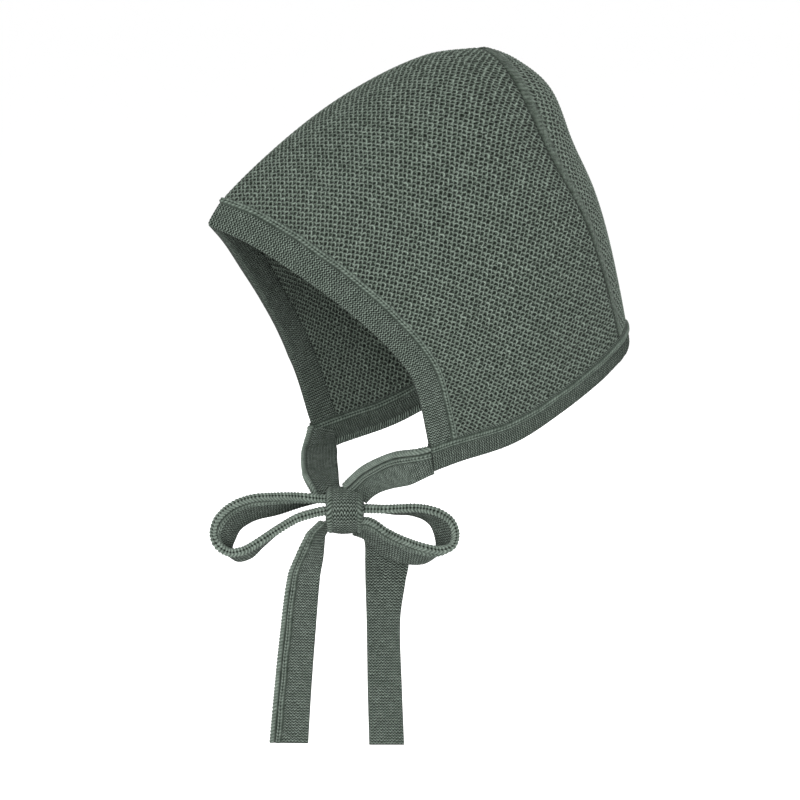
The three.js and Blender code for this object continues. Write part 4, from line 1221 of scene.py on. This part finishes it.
# Which node each piece stands for, and the size each was knitted to
dress(crown_panel, "knit_main", (0.33, 0.130), "stretched", ["face_band", "back_panel"], 0.040,
      "crown_right", "crown_top", "crown_left")
dress(back_panel, "knit_main", (0.095, 0.130), "stretched", ["crown_panel_knit", "neck_band"], 0.0105,
      "back_panel")
dress(face_band_piece, "knit_band", (0.305, 0.015), "stretched", ["crown_panel_knit"], None, "face_band")
dress(neck_band_piece, "knit_band", (0.31, 0.0165), "stretched", ["crown_panel_knit", "back_panel"], None,
      "neck_band")
for piece, run, held, carriers in (
    (strap_left, strap_left_run, "stretched", ["neck_band", "bow_knot"]),
    (strap_right, strap_right_run, "stretched", ["neck_band", "bow_knot"]),
    (loop_left, loop_left_run, "folded", ["bow_knot"]),
    (loop_right, loop_right_run, "folded", ["bow_knot"]),
    (tail_left, tail_left_run, "hung", ["bow_knot"]),
    (tail_right, tail_right_run, "hung", ["bow_knot"]),
):
    dress(piece, "knit_tie", (TIE_WIDTH * MM, run * MM), held, carriers, None,
          piece.name.removesuffix("_knit"))
dress(knot, "knit_tie", (TIE_WIDTH * MM, 0.044), "folded", ["strap_left", "strap_right"], None, "bow_knot")

# Camera, matched to the photograph's viewing angle and framing
VIEW_AZIMUTH = math.radians(60)
VIEW_ELEVATION = math.radians(5.5)
VIEW_DISTANCE = 2.0
SCALE = 0.00041
IMAGE_SIZE = 800
SENSOR = 36.0
AIM_PIXEL = (475, 50)
view_back = Vector((math.sin(VIEW_AZIMUTH) * math.cos(VIEW_ELEVATION),
                    -math.cos(VIEW_AZIMUTH) * math.cos(VIEW_ELEVATION), math.sin(VIEW_ELEVATION)))
view_right = Vector((math.cos(VIEW_AZIMUTH), math.sin(VIEW_AZIMUTH), 0))
view_up = view_back.cross(view_right)
aim = Vector((0, -SEAM_TOP[1] * MM, (KNIT_WALL - SEAM_TOP[2]) * MM))
centre = (aim - view_right * (AIM_PIXEL[0] - IMAGE_SIZE / 2) * SCALE
          + view_up * (AIM_PIXEL[1] - IMAGE_SIZE / 2) * SCALE)
camera_data = bpy.data.cameras.new("camera")
camera_data.lens = SENSOR * VIEW_DISTANCE / (IMAGE_SIZE * SCALE)
camera_data.sensor_width = SENSOR
camera_data.clip_end = 100
camera = bpy.data.objects.new("camera", camera_data)
camera.location = centre + view_back * VIEW_DISTANCE
camera.rotation_euler = view_back.to_track_quat("Z", "Y").to_euler()
bpy.context.scene.collection.objects.link(camera)
bpy.context.scene.camera = camera

# Pale floor and soft light
FLOOR_HALF = 30
FLOOR_LEVEL = -0.32
floor_mesh = bpy.data.meshes.new("floor")
floor_corners = [(x * FLOOR_HALF, y * FLOOR_HALF, FLOOR_LEVEL)
                 for x, y in ((-1, -1), (1, -1), (1, 1), (-1, 1))]
floor_mesh.from_pydata(floor_corners, [], [(0, 1, 2, 3)])
floor = bpy.data.objects.new("floor", floor_mesh)
bpy.context.scene.collection.objects.link(floor)
paper = bpy.data.materials.new("pale_paper")
paper.use_nodes = True
paper.node_tree.nodes["Principled BSDF"].inputs["Base Color"].default_value = (0.95, 0.95, 0.95, 1)
paper.node_tree.nodes["Principled BSDF"].inputs["Roughness"].default_value = 0.95
floor_mesh.materials.append(paper)

world = bpy.data.worlds.new("studio")
world.use_nodes = True
world.node_tree.nodes["Background"].inputs["Color"].default_value = (1, 1, 1, 1)
world.node_tree.nodes["Background"].inputs["Strength"].default_value = 1.05
bpy.context.scene.world = world


# A round lamp that faces the middle of the bonnet and its bow
LIT_PLACE = Vector((0, -0.03, -0.1))


def softbox(name, azimuth, elevation, distance, size, power):
    data = bpy.data.lights.new(name, "AREA")
    data.shape = "DISK"
    data.size = size
    data.energy = power
    lamp = bpy.data.objects.new(name, data)
    a, e = math.radians(azimuth), math.radians(elevation)
    back = Vector((math.sin(a) * math.cos(e), -math.cos(a) * math.cos(e), math.sin(e)))
    lamp.location = LIT_PLACE + back * distance
    lamp.rotation_euler = back.to_track_quat("Z", "Y").to_euler()
    bpy.context.scene.collection.objects.link(lamp)


softbox("key_light", azimuth=52, elevation=9, distance=1.8, size=0.9, power=30)
softbox("top_light", azimuth=105, elevation=45, distance=1.8, size=1.2, power=11)
softbox("rear_light", azimuth=225, elevation=18, distance=1.9, size=1.2, power=20)
softbox("right_light", azimuth=305, elevation=12, distance=1.9, size=1.2, power=13)

bpy.context.scene.view_settings.view_transform = "Standard"
bpy.context.scene.view_settings.look = "None"
